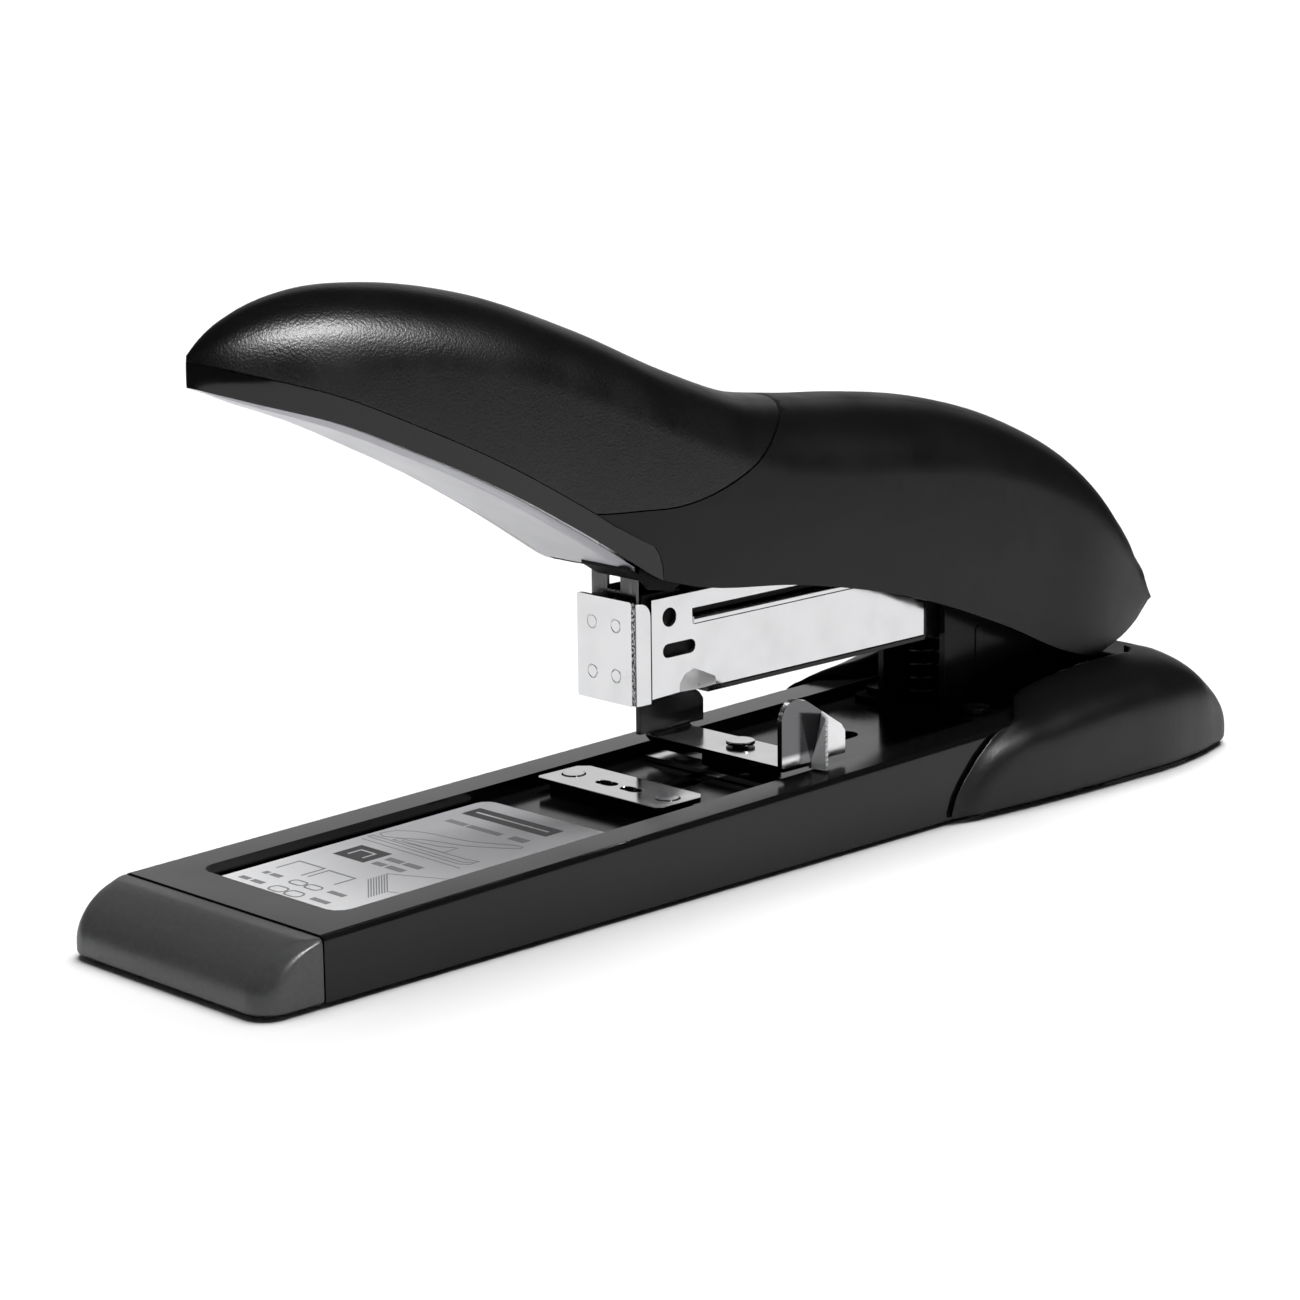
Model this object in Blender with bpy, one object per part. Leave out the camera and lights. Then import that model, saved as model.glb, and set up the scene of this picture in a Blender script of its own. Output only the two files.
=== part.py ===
"""A heavy-duty desktop stapler, built as an assembly of separate pieces.

Lengths are in millimetres. X is measured from the middle plane, Y from the front end of the base
rail and Z from its underside. part_point() turns them into the part's own frame, in metres, whose
origin is on the ground under the middle of the stapler, with the front at -Y.
"""

import math

import bmesh
import bpy
from mathutils import Matrix, Vector

MM = 0.001
GAP = 0.3                    # clearance between neighbouring pieces

# Overall
FRONT_END = -14.5
REAR_END = 270.5
MIDDLE = (FRONT_END + REAR_END) / 2
PAD_HEIGHT = 1.0             # the rail stands this far above the ground

# Base rail: a steel channel that rises towards the rear, with a sunk pan along its top
RAIL_HALF = 29.9
RAIL_END = 247.0
RAIL_FRONT_HEIGHT = 12.54
RAIL_RISE = 0.0235           # height gained per millimetre of length
RAIL_CORNER = 1.4
RAIL_SHEET = 1.2
PAN_HALF = 21.0
PAN_FRONT = 10.5
PAN_REAR = 240.0
PAN_DEPTH = 3.0
PAN_CORNER = 3.5
SLOT_HALF = 3.0
SLOT_FRONT = 112.0
SLOT_REAR = 172.0

# Pivot that the magazine and the handle share
PIVOT_Y = 215.0
PIVOT_Z = 36.0
PIN_RADIUS = 3.0

# Widths of the plates stacked along the pivot pin, from the inside out
ARM_INNER, ARM_OUTER = 5.4, 6.9
BRACKET_INNER, BRACKET_OUTER = 8.2, 9.7
LEVER_INNER, LEVER_OUTER = 10.1, 11.6

# Magazine and head
MAGAZINE_HALF = 8.0
MAGAZINE_SHEET = 0.8
HEAD_FRONT = 98.1
HEAD_BOTTOM = 33.6
HEAD_TOP = 55.0
WALL_FRONT = 103.7
WALL_REAR = 185.6
WALL_BOTTOM = 34.2
MAGAZINE_TOP = 54.6
FRAME_BOTTOM = 33.0
FRAME_SHEET = 0.9
ROD_Z = 47.0
ROD_RADIUS = 1.25

# Driver: a forked blade as wide as the staple crown
CROWN = 13.0
BLADE_FRONT = 100.9
BLADE_THICKNESS = 0.8
BLADE_BOTTOM = 47.5
FORK_TOP = 69.2

# Anvil plate
ANVIL_HALF = 18.2
ANVIL_FRONT, ANVIL_REAR = 95.2, 109.0
ANVIL_TOP = 15.1
ANVIL_SHEET = 1.1
ANVIL_RIVET_X = 13.84

# Paper stop
STOP_FRONT, STOP_REAR = 127.2, 146.2
STOP_STRIP_FRONT, STOP_STRIP_REAR = 129.5, 141.8
STOP_HALF = 21.4
STOP_SHEET = 1.2
STOP_STRIP_BOTTOM = 16.0
STOP_TOP = 31.5
STOP_BEND = 2.6
STOP_TAB_FRONT = 136.3       # front of the toothed edge that the thumb pushes

# Handle: heights along its length, as (y, z)
HANDLE_TIP = -3.2
HANDLE_END = 253.6
HANDLE_CORNER_Y = 97.4       # where the lower edge turns from the grip to the shell
HANDLE_CREST = [(-3.2, 114.8), (2, 118.4), (10, 121.9), (22, 124.3), (38, 124), (60, 120.1),
                (85, 111.3), (110, 100.4), (130, 93.3), (150, 90.1), (170, 88.1), (190, 85),
                (210, 78.8), (228, 69.4), (240, 59.3), (249.2, 48.5), (252.5, 41), (253.6, 34.5)]
HANDLE_EDGE_FRONT = [(-3.2, 109), (8.6, 105.1), (22.8, 100.5), (39.8, 93), (57.9, 84.3),
                     (77.8, 73.2), (97.4, 61.1)]
HANDLE_EDGE_REAR = [(97.4, 61.1), (107.5, 58.2), (136.3, 54.2), (157.4, 49.8), (174.3, 45.1),
                    (199, 35.8), (222, 26), (230, 24), (236, 25.2), (244, 27.2), (250, 29.8),
                    (253.6, 32.6)]
HANDLE_WIDTHS = [(72, 16.6), (97, 18), (130, 19.3), (170, 20.3), (210, 20.8), (235, 20.4),
                 (253.6, 16.5)]
NOSE_END = 72.0              # from here forward the plan narrows to the nose
NOSE_POWER = 1.6
HANDLE_WALL = 2.3
EDGE_FACTOR = 0.94           # width at the lower edge over the widest width
CROWN_POWER = 2.3            # exponent of the rounded top of a section
TRIM_HEIGHT = 5.0
PANEL_THICKNESS = 1.4
PANEL_BULGE = 1.0            # how far the underside panel stands below the trim
PANEL_END = 93.6

# Rear cover along its length: half width, height, exponent of its rounded top, and height of its
# upright sides as a share of its height
COVER_WIDTHS = [(164, 31.4), (176, 32.6), (197, 34.4), (220, 35.3), (245, 34.8), (258, 32.1),
                (266, 28.6), (270.5, 22.5)]
COVER_HEIGHTS = [(164, 20.5), (186, 22.2), (198, 22.7), (206, 24), (215, 25), (228, 25.6),
                 (240, 24.9), (248, 23.7), (254, 21.5), (259, 18.5), (264.5, 13.8), (268.5, 9),
                 (270.5, 4.6)]
COVER_POWERS = [(164, 3.3), (215, 3.1), (245, 3.4), (258, 3.3), (270.5, 2.5)]
COVER_UPRIGHT = [(164, 0.4), (235, 0.36), (262, 0.16), (270.5, 0.12)]
COVER_OPENING_HALF = 22.2
COVER_OPENING_END = 242.0

# Pins that cross the handle, as (y, z)
DRIVER_TOP = 72.9
DRIVE_PIN_RADIUS = 2.0
DRIVE_PIN = (101.5, DRIVER_TOP + GAP + DRIVE_PIN_RADIUS)
MOUNT_PIN_RADIUS = 1.8
MOUNT_PINS = {"rear": ((170, 64), 16.5), "front": ((84, 84), 13.2)}


# ---------------------------------------------------------------- geometry helpers

def part_point(x, y, z):
    """A point of the design, in millimetres, as a point of the part's frame, in metres."""
    return Vector((x, y - MIDDLE, z + PAD_HEIGHT)) * MM


def rail_top(y):
    return RAIL_FRONT_HEIGHT + RAIL_RISE * y


def pan_floor(y):
    return rail_top(y) - PAN_DEPTH


def on_pan(y):
    """Lowest level of a piece that lies on the floor of the pan."""
    return pan_floor(y) + GAP


def smooth(points, at):
    """Height at a station of the smooth curve through (station, height) points."""
    at = min(max(at, points[0][0]), points[-1][0])
    slopes = [(b[1] - a[1]) / (b[0] - a[0]) for a, b in zip(points, points[1:])]
    spans = [b[0] - a[0] for a, b in zip(points, points[1:])]
    tangents = [slopes[0]]
    for i in range(1, len(slopes)):
        weighted = slopes[i - 1] * spans[i] + slopes[i] * spans[i - 1]
        tangents.append(weighted / (spans[i - 1] + spans[i]))
    tangents.append(slopes[-1])
    for i, span in enumerate(spans):
        if at <= points[i + 1][0]:
            t = (at - points[i][0]) / span
            start = (2 * t**3 - 3 * t**2 + 1) * points[i][1]
            start += (t**3 - 2 * t**2 + t) * span * tangents[i]
            end = (-2 * t**3 + 3 * t**2) * points[i + 1][1]
            end += (t**3 - t**2) * span * tangents[i + 1]
            return start + end
    return points[-1][1]


def arc(centre, radius, start, end, steps):
    """Points on an arc in a plane, with the angles in degrees."""
    angles = [math.radians(start + (end - start) * i / steps) for i in range(steps + 1)]
    return [(centre[0] + radius * math.cos(a), centre[1] + radius * math.sin(a)) for a in angles]


def circle(centre, radius, sides):
    return arc(centre, radius, 0, 360 * (sides - 1) / sides, sides - 1)


def rounded_box(low, high, radius, steps=3):
    """Outline of a rectangle with round corners."""
    corners = [(high[0] - radius, low[1] + radius, -90), (high[0] - radius, high[1] - radius, 0),
               (low[0] + radius, high[1] - radius, 90), (low[0] + radius, low[1] + radius, 180)]
    outline = []
    for a, b, start in corners:
        outline += arc((a, b), radius, start, start + 90, steps)
    return outline


def height_at(level, y):
    return level(y) if callable(level) else level


def loft(rings):
    """A closed solid through rings of the same number of points, with flat ends."""
    shape = bmesh.new()
    layers = [[shape.verts.new(part_point(*point)) for point in ring] for ring in rings]
    for lower, upper in zip(layers, layers[1:]):
        for i in range(len(lower)):
            j = (i + 1) % len(lower)
            shape.faces.new((lower[i], lower[j], upper[j], upper[i]))
    shape.faces.new(layers[0][::-1])
    shape.faces.new(layers[-1])
    bmesh.ops.recalc_face_normals(shape, faces=shape.faces)
    mesh = bpy.data.meshes.new("solid")
    shape.to_mesh(mesh)
    shape.free()
    solid = bpy.data.objects.new("solid", mesh)
    bpy.context.scene.collection.objects.link(solid)
    return solid


def prism_x(outline, low, high):
    """A side-view outline of (y, z) points carried across from one x to another."""
    return loft([[(x, y, z) for y, z in outline] for x in (low, high)])


def prism_y(outline, low, high):
    return loft([[(x, y, z) for x, z in outline] for y in (low, high)])


def prism_z(outline, low, high):
    """A plan outline between two levels, each a height or a function of y."""
    return loft([[(x, y, height_at(level, y)) for x, y in outline] for level in (low, high)])


def block(x, y, z):
    outline = [(x[0], y[0]), (x[1], y[0]), (x[1], y[1]), (x[0], y[1])]
    return prism_z(outline, z[0], z[1])


def rod_x(centre, radius, low, high, sides=16):
    return prism_x(circle(centre, radius, sides), low, high)


def rod_y(centre, radius, low, high, sides=12):
    return prism_y(circle(centre, radius, sides), low, high)


def rod_z(centre, radius, low, high, sides=12):
    return prism_z(circle(centre, radius, sides), low, high)


def combine(solid, tool, operation):
    """Applies one Boolean to a solid and removes the tool."""
    modifier = solid.modifiers.new("combine", "BOOLEAN")
    modifier.operation = operation
    modifier.object = tool
    graph = bpy.context.evaluated_depsgraph_get()
    mesh = bpy.data.meshes.new_from_object(solid.evaluated_get(graph))
    solid.modifiers.clear()
    solid.data = mesh
    bpy.data.objects.remove(tool)
    return solid


def cut(solid, *tools):
    for tool in tools:
        combine(solid, tool, "DIFFERENCE")
    return solid


def join(solid, *tools):
    for tool in tools:
        combine(solid, tool, "UNION")
    return solid


def keep(solid, tool):
    return combine(solid, tool, "INTERSECT")


def coil(start, end, radius, wire, turns, steps=9, sides=5):
    """A round-wire helix from one point to another, along Y or Z."""
    along = 1 if abs(end[1] - start[1]) > abs(end[2] - start[2]) else 2
    across = 2 if along == 1 else 1
    length = end[along] - start[along]
    count = int(turns * steps)
    centres = []
    for i in range(count + 1):
        angle = 2 * math.pi * i / steps
        centre = list(start)
        centre[0] += radius * math.cos(angle)
        centre[across] += radius * math.sin(angle)
        centre[along] += length * i / count
        centres.append(Vector(centre))
    rings = []
    for i, centre in enumerate(centres):
        tangent = (centres[min(i + 1, count)] - centres[max(i - 1, 0)]).normalized()
        axis = Vector(start).lerp(Vector(end), i / count)
        outward = (centre - axis).normalized()
        side = tangent.cross(outward).normalized()
        ring = []
        for k in range(sides):
            turn = 2 * math.pi * k / sides
            ring.append(centre + wire * (math.cos(turn) * outward + math.sin(turn) * side))
        rings.append(ring)
    return loft(rings)


# ---------------------------------------------------------------- scene, materials, bodies

def clear_scene():
    for obj in list(bpy.data.objects):
        bpy.data.objects.remove(obj)


def make_material(name, colour, roughness, metallic=0.0):
    made = bpy.data.materials.new(name)
    made.use_nodes = True
    shader = made.node_tree.nodes["Principled BSDF"]
    shader.inputs["Base Color"].default_value = (*colour, 1.0)
    shader.inputs["Roughness"].default_value = roughness
    shader.inputs["Metallic"].default_value = metallic
    made.diffuse_color = (*colour, 1.0)
    return made


clear_scene()
BLACK_PAINT = make_material("black_paint", (0.022, 0.022, 0.024), 0.28, 0.2)
CAP_PLASTIC = make_material("cap_plastic", (0.085, 0.085, 0.09), 0.5)
COVER_PLASTIC = make_material("cover_plastic", (0.03, 0.03, 0.032), 0.5)
SHELL_PLASTIC = make_material("shell_plastic", (0.022, 0.021, 0.022), 0.45)
GRIP_RUBBER = make_material("grip_rubber", (0.018, 0.018, 0.019), 0.42)
GLOSS_TRIM = make_material("gloss_trim", (0.012, 0.012, 0.013), 0.12)
LIGHT_PANEL = make_material("light_panel", (0.5, 0.5, 0.53), 0.4)
LABEL = make_material("label", (0.72, 0.72, 0.73), 0.35)
CHROME = make_material("chrome", (0.78, 0.78, 0.79), 0.16, 1.0)
BLADE_STEEL = make_material("blade_steel", (0.3, 0.3, 0.31), 0.3, 1.0)
SPRING_STEEL = make_material("spring_steel", (0.45, 0.45, 0.46), 0.3, 1.0)
BLACK_PLASTIC = make_material("black_plastic", (0.02, 0.02, 0.02), 0.5)
PAD_RUBBER = make_material("pad_rubber", (0.02, 0.02, 0.02), 0.8)


def make_body(name, x, y, z, parent=None):
    """An empty that stands on a body's joint axis and carries its pieces."""
    body = bpy.data.objects.new(name + "_body", None)
    bpy.context.scene.collection.objects.link(body)
    body.location = part_point(x, y, z)
    if parent:
        body.parent = parent
        body.location = part_point(x, y, z) - world_place(parent)
    return body


def world_place(body):
    place = body.location.copy()
    while body.parent:
        body = body.parent
        place += body.location
    return place


def finish(solid, name, material, body, smooth_angle=None):
    """Names a solid, gives it its material and hangs it on its body."""
    solid.name = name
    solid.data.name = name
    solid.data.materials.clear()
    solid.data.materials.append(material)
    solid.data.transform(Matrix.Translation(-world_place(body)))
    solid.parent = body
    if smooth_angle:
        solid.data.shade_smooth()
        solid.data.set_sharp_from_angle(angle=math.radians(smooth_angle))
    return solid


BASE = make_body("base", 0, MIDDLE, -PAD_HEIGHT)
STOP = make_body("paper_stop", 0, 137, pan_floor(137), BASE)
MAGAZINE = make_body("magazine", 0, PIVOT_Y, PIVOT_Z, BASE)
DRIVER = make_body("driver", 0, BLADE_FRONT, HEAD_TOP, MAGAZINE)
PUSHER = make_body("pusher", 0, 112, ROD_Z, MAGAZINE)
HANDLE = make_body("handle", 0, PIVOT_Y, PIVOT_Z, MAGAZINE)


# ---------------------------------------------------------------- base

def rail_section(y, inset):
    """Points of the channel's outer section at y, drawn in by inset."""
    half = RAIL_HALF - inset
    top = rail_top(y) - inset
    radius = max(RAIL_CORNER - inset, 0.4)
    bottom = 0 if inset == 0 else -5
    right = arc((half - radius, top - radius), radius, 0, 90, 3)
    left = arc((-half + radius, top - radius), radius, 90, 180, 3)
    return [(half, y, bottom)] + [(x, y, z) for x, z in right + left] + [(-half, y, bottom)]


def make_base_rail():
    rail = loft([rail_section(0, 0), rail_section(RAIL_END, 0)])
    hollow = loft([rail_section(-1, RAIL_SHEET), rail_section(RAIL_END + 1, RAIL_SHEET)])
    pan_shell = prism_z(
        rounded_box((-PAN_HALF - RAIL_SHEET, PAN_FRONT - RAIL_SHEET),
                    (PAN_HALF + RAIL_SHEET, PAN_REAR + RAIL_SHEET), PAN_CORNER + RAIL_SHEET),
        lambda y: pan_floor(y) - RAIL_SHEET, 30)
    cut(hollow, pan_shell)
    pan = prism_z(rounded_box((-PAN_HALF, PAN_FRONT), (PAN_HALF, PAN_REAR), PAN_CORNER),
                  pan_floor, 30)
    slot = prism_z(rounded_box((-SLOT_HALF, SLOT_FRONT), (SLOT_HALF, SLOT_REAR), 2.9), 5, 30)
    cut(rail, hollow, pan, slot)
    seat_outline = rounded_box((-ANVIL_HALF + 1.5, ANVIL_FRONT + 1.5),
                               (ANVIL_HALF - 1.5, ANVIL_REAR - 1.5), 2)
    seat = prism_z(seat_outline, lambda y: pan_floor(y) - RAIL_SHEET / 2,
                   ANVIL_TOP - ANVIL_SHEET - GAP)
    join(rail, seat)
    finish(rail, "base_rail", BLACK_PAINT, BASE, 35)


def cap_ring(z, front, half, corner):
    """One level of the front cap: straight at the rear, round at the two front corners."""
    corner = min(corner, -front - GAP - 0.4)
    left = arc((-half + corner, front + corner), corner, 180, 270, 4)
    right = arc((half - corner, front + corner), corner, 270, 360, 4)
    outline = [(-half, -GAP)] + left + right + [(half, -GAP)]
    return [(x, y, z) for x, y in outline]


def make_front_cap():
    nose_depth = 13.5
    nose_height = 10.4
    nose_base = 2.0
    half = RAIL_HALF
    corner = 5.5
    rings = [cap_ring(0, FRONT_END + 0.5, half - 0.4, corner),
             cap_ring(0.6, FRONT_END, half, corner)]
    for degrees in (0, 15, 30, 45, 58, 70, 81):
        angle = math.radians(degrees)
        front = FRONT_END + nose_depth * (1 - math.cos(angle))
        z = nose_base + nose_height * math.sin(angle)
        above = max(z - (nose_base + nose_height - RAIL_CORNER), 0)
        inset = RAIL_CORNER - math.sqrt(max(RAIL_CORNER**2 - above**2, 0))
        rings.append(cap_ring(z, front, half - inset, corner))
    cap = loft(rings)
    tongue = block((-27.2, 27.2), (-2, 32), (0.4, 2.2))
    finish(join(cap, tongue), "front_cap", CAP_PLASTIC, BASE, 35)


def cover_ring(y):
    """Outer section of the rear cover: upright sides and a rounded top."""
    half = smooth(COVER_WIDTHS, y)
    top = smooth(COVER_HEIGHTS, y)
    shoulder = top * smooth(COVER_UPRIGHT, y)
    power = smooth(COVER_POWERS, y)
    right = []
    for i in range(12):
        angle = math.pi / 2 * i / 11
        x = half * math.cos(angle) ** (2 / power)
        right.append((x, y, shoulder + (top - shoulder) * math.sin(angle) ** (2 / power)))
    left = [(-x, y, z) for x, y, z in right[-2::-1]]
    return [(half - 0.6, y, 0), (half, y, 0.8)] + right + left + [(-half, y, 0.8),
                                                                (-half + 0.6, y, 0)]


def make_rear_cover():
    stations = [164 + 6 * i for i in range(14)]
    stations += [246, 250, 254, 257.5, 260.5, 263, 265.3, 267.2, 268.7, 269.8, 270.5]
    cover = loft([cover_ring(y) for y in stations])
    side = RAIL_HALF + GAP
    saddle = prism_z([(-side, 150), (side, 150), (side, RAIL_END + GAP), (-side, RAIL_END + GAP)],
                     -5, lambda y: rail_top(y) + GAP)
    underside = prism_x([(RAIL_END + 2.5, -5), (263, -5), (263, 10), (256, 16.5),
                         (RAIL_END + 2.5, 20)], -22, 22)
    wing_edge = [(150, -5), (168.8, -5), (168.8, 1), (170.4, 5.1), (172.9, 8.2), (176.6, 12),
                 (180.9, 15.3), (185.5, 18.4), (188.7, 20.9), (189.8, 22.6), (189.5, 24),
                 (187.5, 27), (187.5, 40), (150, 40)]
    front_cutter = prism_x(wing_edge, -45, 45)
    half = COVER_OPENING_HALF
    mouth = [(30.5, 150), (30.5, 186.5), (28.8, 191), (25.6, 194.6), (23.4, 197.4), (half, 201)]
    rear_corner = arc((half - 5, COVER_OPENING_END - 5), 5, 0, 90, 4)
    right = mouth + rear_corner
    opening = prism_z(right + [(-x, y) for x, y in right[::-1]], 5, 60)
    handle_recess = block((-18, 18), (COVER_OPENING_END - 1, REAR_END + 1), (21.4, 40))
    cut(cover, saddle, underside, front_cutter, opening, handle_recess)
    finish(cover, "rear_cover", COVER_PLASTIC, BASE, 40)


def make_label_plate():
    outline = rounded_box((-19.6, 11.5), (19.6, 83), 3)
    plate = prism_z(outline, on_pan, lambda y: on_pan(y) + 0.4)
    finish(plate, "label_plate", LABEL, BASE)


def make_anvil():
    outline = [(-ANVIL_HALF, ANVIL_FRONT + 1), (-ANVIL_HALF + 1, ANVIL_FRONT),
               (ANVIL_HALF - 1, ANVIL_FRONT), (ANVIL_HALF, ANVIL_FRONT + 1),
               (ANVIL_HALF, ANVIL_REAR - 2), (ANVIL_HALF - 2, ANVIL_REAR),
               (-ANVIL_HALF + 2, ANVIL_REAR), (-ANVIL_HALF, ANVIL_REAR - 2)]
    plate = prism_z(outline, ANVIL_TOP - ANVIL_SHEET, ANVIL_TOP)
    pit_depth = 0.6
    for side in (-1, 1):
        pit = rounded_box((side * 3.6 - 2.7, 100.2), (side * 3.6 + 2.7, 103.2), 1.4)
        cut(plate, prism_z(pit, ANVIL_TOP - pit_depth, ANVIL_TOP + 1))
    for side in (-1, 1):
        cut(plate, rod_z((side * ANVIL_RIVET_X, 102), 2.3 + GAP, 5, 20))
    finish(plate, "anvil_plate", CHROME, BASE, 35)
    for side, label in ((-1, "left"), (1, "right")):
        rivet = rod_z((side * ANVIL_RIVET_X, 102), 2.3, ANVIL_TOP - ANVIL_SHEET, ANVIL_TOP + 0.2)
        finish(rivet, "anvil_rivet_" + label, CHROME, BASE, 35)


def make_pads():
    for side, label in ((-1, "left"), (1, "right")):
        front = rod_z((side * 18, 16), 7, -PAD_HEIGHT, 0.1, 20)
        finish(front, "front_pad_" + label, PAD_RUBBER, BASE, 35)
        x = sorted((side * 30.2, side * 34))
        rear = prism_z(rounded_box((x[0], 216), (x[1], 246), 1.5), -PAD_HEIGHT, -GAP)
        finish(rear, "rear_pad_" + label, PAD_RUBBER, BASE, 35)


def make_pivot_bracket():
    front, rear = 190.5, 229.0
    thickness = 1.5
    outline = [(front, on_pan(front)), (rear, on_pan(rear)), (rear, 22), (226, 30)]
    outline += arc((PIVOT_Y, PIVOT_Z), 9.5, -10, 95, 7)
    outline += [(205, 47), (front + 2, 46), (front, 44)]
    plates = [prism_x(outline, *sorted((side * BRACKET_INNER, side * BRACKET_OUTER)))
              for side in (-1, 1)]
    foot = prism_z(rounded_box((-18, front), (18, rear), 2), on_pan,
                   lambda y: on_pan(y) + thickness)
    bracket = join(foot, *plates)
    for side in (-1, 1):
        x = sorted((side * (BRACKET_OUTER - 0.5), side * (BRACKET_OUTER + 0.25)))
        join(bracket, prism_x(rounded_box((200.6, 24), (202.8, 34), 1), *x))
        for y in (196, 223):
            cut(bracket, rod_z((side * 14, y), 1.9 + GAP, 5, 25))
    cut(bracket, rod_x((PIVOT_Y, PIVOT_Z), PIN_RADIUS + GAP, -15, 15))
    finish(bracket, "pivot_bracket", BLACK_PAINT, BASE, 35)
    for side, label in ((-1, "left"), (1, "right")):
        for y, place in ((196, "front"), (223, "rear")):
            foot_top = on_pan(y) + thickness
            shank = rod_z((side * 14, y), 1.9, on_pan(y), foot_top + 0.8)
            head = rod_z((side * 14, y), 3.2, foot_top + GAP, foot_top + 1.5)
            name = "bracket_rivet_" + place + "_" + label
            finish(join(shank, head), name, SPRING_STEEL, BASE, 35)


def make_pivot_pin():
    reach = 13.4
    pin = rod_x((PIVOT_Y, PIVOT_Z), PIN_RADIUS, -reach, reach)
    finish(pin, "pivot_pin", SPRING_STEEL, BASE, 35)
    for side, label in ((-1, "left"), (1, "right")):
        x = sorted((side * (LEVER_OUTER + GAP), side * (LEVER_OUTER + GAP + 0.9)))
        clip = rod_x((PIVOT_Y, PIVOT_Z), 5, *x)
        cut(clip, rod_x((PIVOT_Y, PIVOT_Z), PIN_RADIUS + 0.1, -20, 20))
        cut(clip, prism_x([(PIVOT_Y - 1.6, 25), (PIVOT_Y + 1.6, 25), (PIVOT_Y + 1.6, PIVOT_Z),
                           (PIVOT_Y - 1.6, PIVOT_Z)], -20, 20))
        finish(clip, "pivot_clip_" + label, SPRING_STEEL, BASE, 35)


def make_lift_spring():
    wire = 0.6
    y = 196.0
    bottom = pan_floor(y) + GAP + 1.5 + GAP + wire
    top = 33 - GAP - wire
    spring = coil((0, y, bottom), (0, y, top), 4.2, wire, 5)
    finish(spring, "magazine_lift_spring", SPRING_STEEL, BASE, 60)


# ---------------------------------------------------------------- paper stop

def make_stop_arm():
    inner = STOP_HALF - STOP_SHEET
    outer_bend, inner_bend = STOP_BEND, STOP_BEND - STOP_SHEET
    bottom = STOP_STRIP_BOTTOM
    outer_centre = (STOP_HALF - outer_bend, bottom + outer_bend)
    low_side = arc(outer_centre, outer_bend, -90, 0, 4) + [(STOP_HALF, 24)]
    high_side = [(inner, 24)] + arc(outer_centre, inner_bend, 0, -90, 4)
    right = low_side + high_side
    strip_outline = right + [(-x, z) for x, z in right[::-1]]
    arm = prism_y(strip_outline, STOP_STRIP_FRONT, STOP_STRIP_REAR)
    wing_bottom = 17.6
    wing = [(STOP_FRONT, wing_bottom), (STOP_REAR, wing_bottom), (STOP_REAR, 22.4),
            (STOP_REAR - 1.2, 24), (STOP_FRONT + 7.2, 30.8)]
    wing += arc((STOP_FRONT + 4.2, STOP_TOP - 4.2), 4.2, 62, 180, 6)
    for side in (-1, 1):
        x = sorted((side * STOP_HALF, side * inner))
        join(arm, prism_x(wing, *x))
    tab_rings = []
    for z, root in ((16.2, 135.7), (27.2, 139.2)):
        tab_rings.append([(STOP_HALF - 0.6, root, z), (STOP_HALF - 0.6, root + 0.8, z),
                          (25.1, STOP_TAB_FRONT + 0.8, z), (25.1, STOP_TAB_FRONT, z)])
    join(arm, loft(tab_rings))
    tooth = 1.1
    for i in range(10):
        z = 16.8 + tooth * i
        cut(arm, prism_y([(24.6, z), (25.8, z - 0.35), (25.8, z + 0.35)], 130, 145))
    cut(arm, rod_z((0, 137), 1.6 + GAP, 10, 20))
    finish(arm, "stop_arm", CHROME, STOP, 35)


def make_stop_fittings():
    top = STOP_STRIP_BOTTOM + STOP_SHEET
    rivet = rod_z((0, 137), 3.1, top + GAP, top + GAP + 0.8, 20)
    join(rivet, rod_z((0, 137), 1.6, STOP_STRIP_BOTTOM - 0.1, top + 1))
    finish(rivet, "stop_rivet", CHROME, STOP, 35)
    guide = prism_z([(-7, 132.4), (7, 132.4), (7, 142), (-7, 142)], on_pan,
                    STOP_STRIP_BOTTOM - GAP - 0.1)
    stem = prism_z([(-SLOT_HALF + GAP, 133), (SLOT_HALF - GAP, 133), (SLOT_HALF - GAP, 141),
                    (-SLOT_HALF + GAP, 141)],
                   lambda y: pan_floor(y) - RAIL_SHEET - GAP, lambda y: pan_floor(y) + 1)
    finish(join(guide, stem), "stop_slide_block", BLACK_PLASTIC, STOP)
    clamp = prism_z([(-8, 131), (8, 131), (8, 143), (-8, 143)],
                    lambda y: pan_floor(y) - RAIL_SHEET - 2 * GAP - 1.5,
                    lambda y: pan_floor(y) - RAIL_SHEET - 2 * GAP)
    finish(clamp, "stop_clamp_plate", SPRING_STEEL, STOP)
    bar = prism_z(rounded_box((-19.2, 126.4), (19.2, 131.8), 1.2, 2), on_pan,
                  lambda y: on_pan(y) + 1.0)
    cut(bar, rod_z((-9, 129), 1.1, 5, 25, 10), rod_z((9, 129), 1.1, 5, 25, 10))
    finish(bar, "stop_guide_bar", CHROME, STOP)


# ---------------------------------------------------------------- magazine

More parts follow.
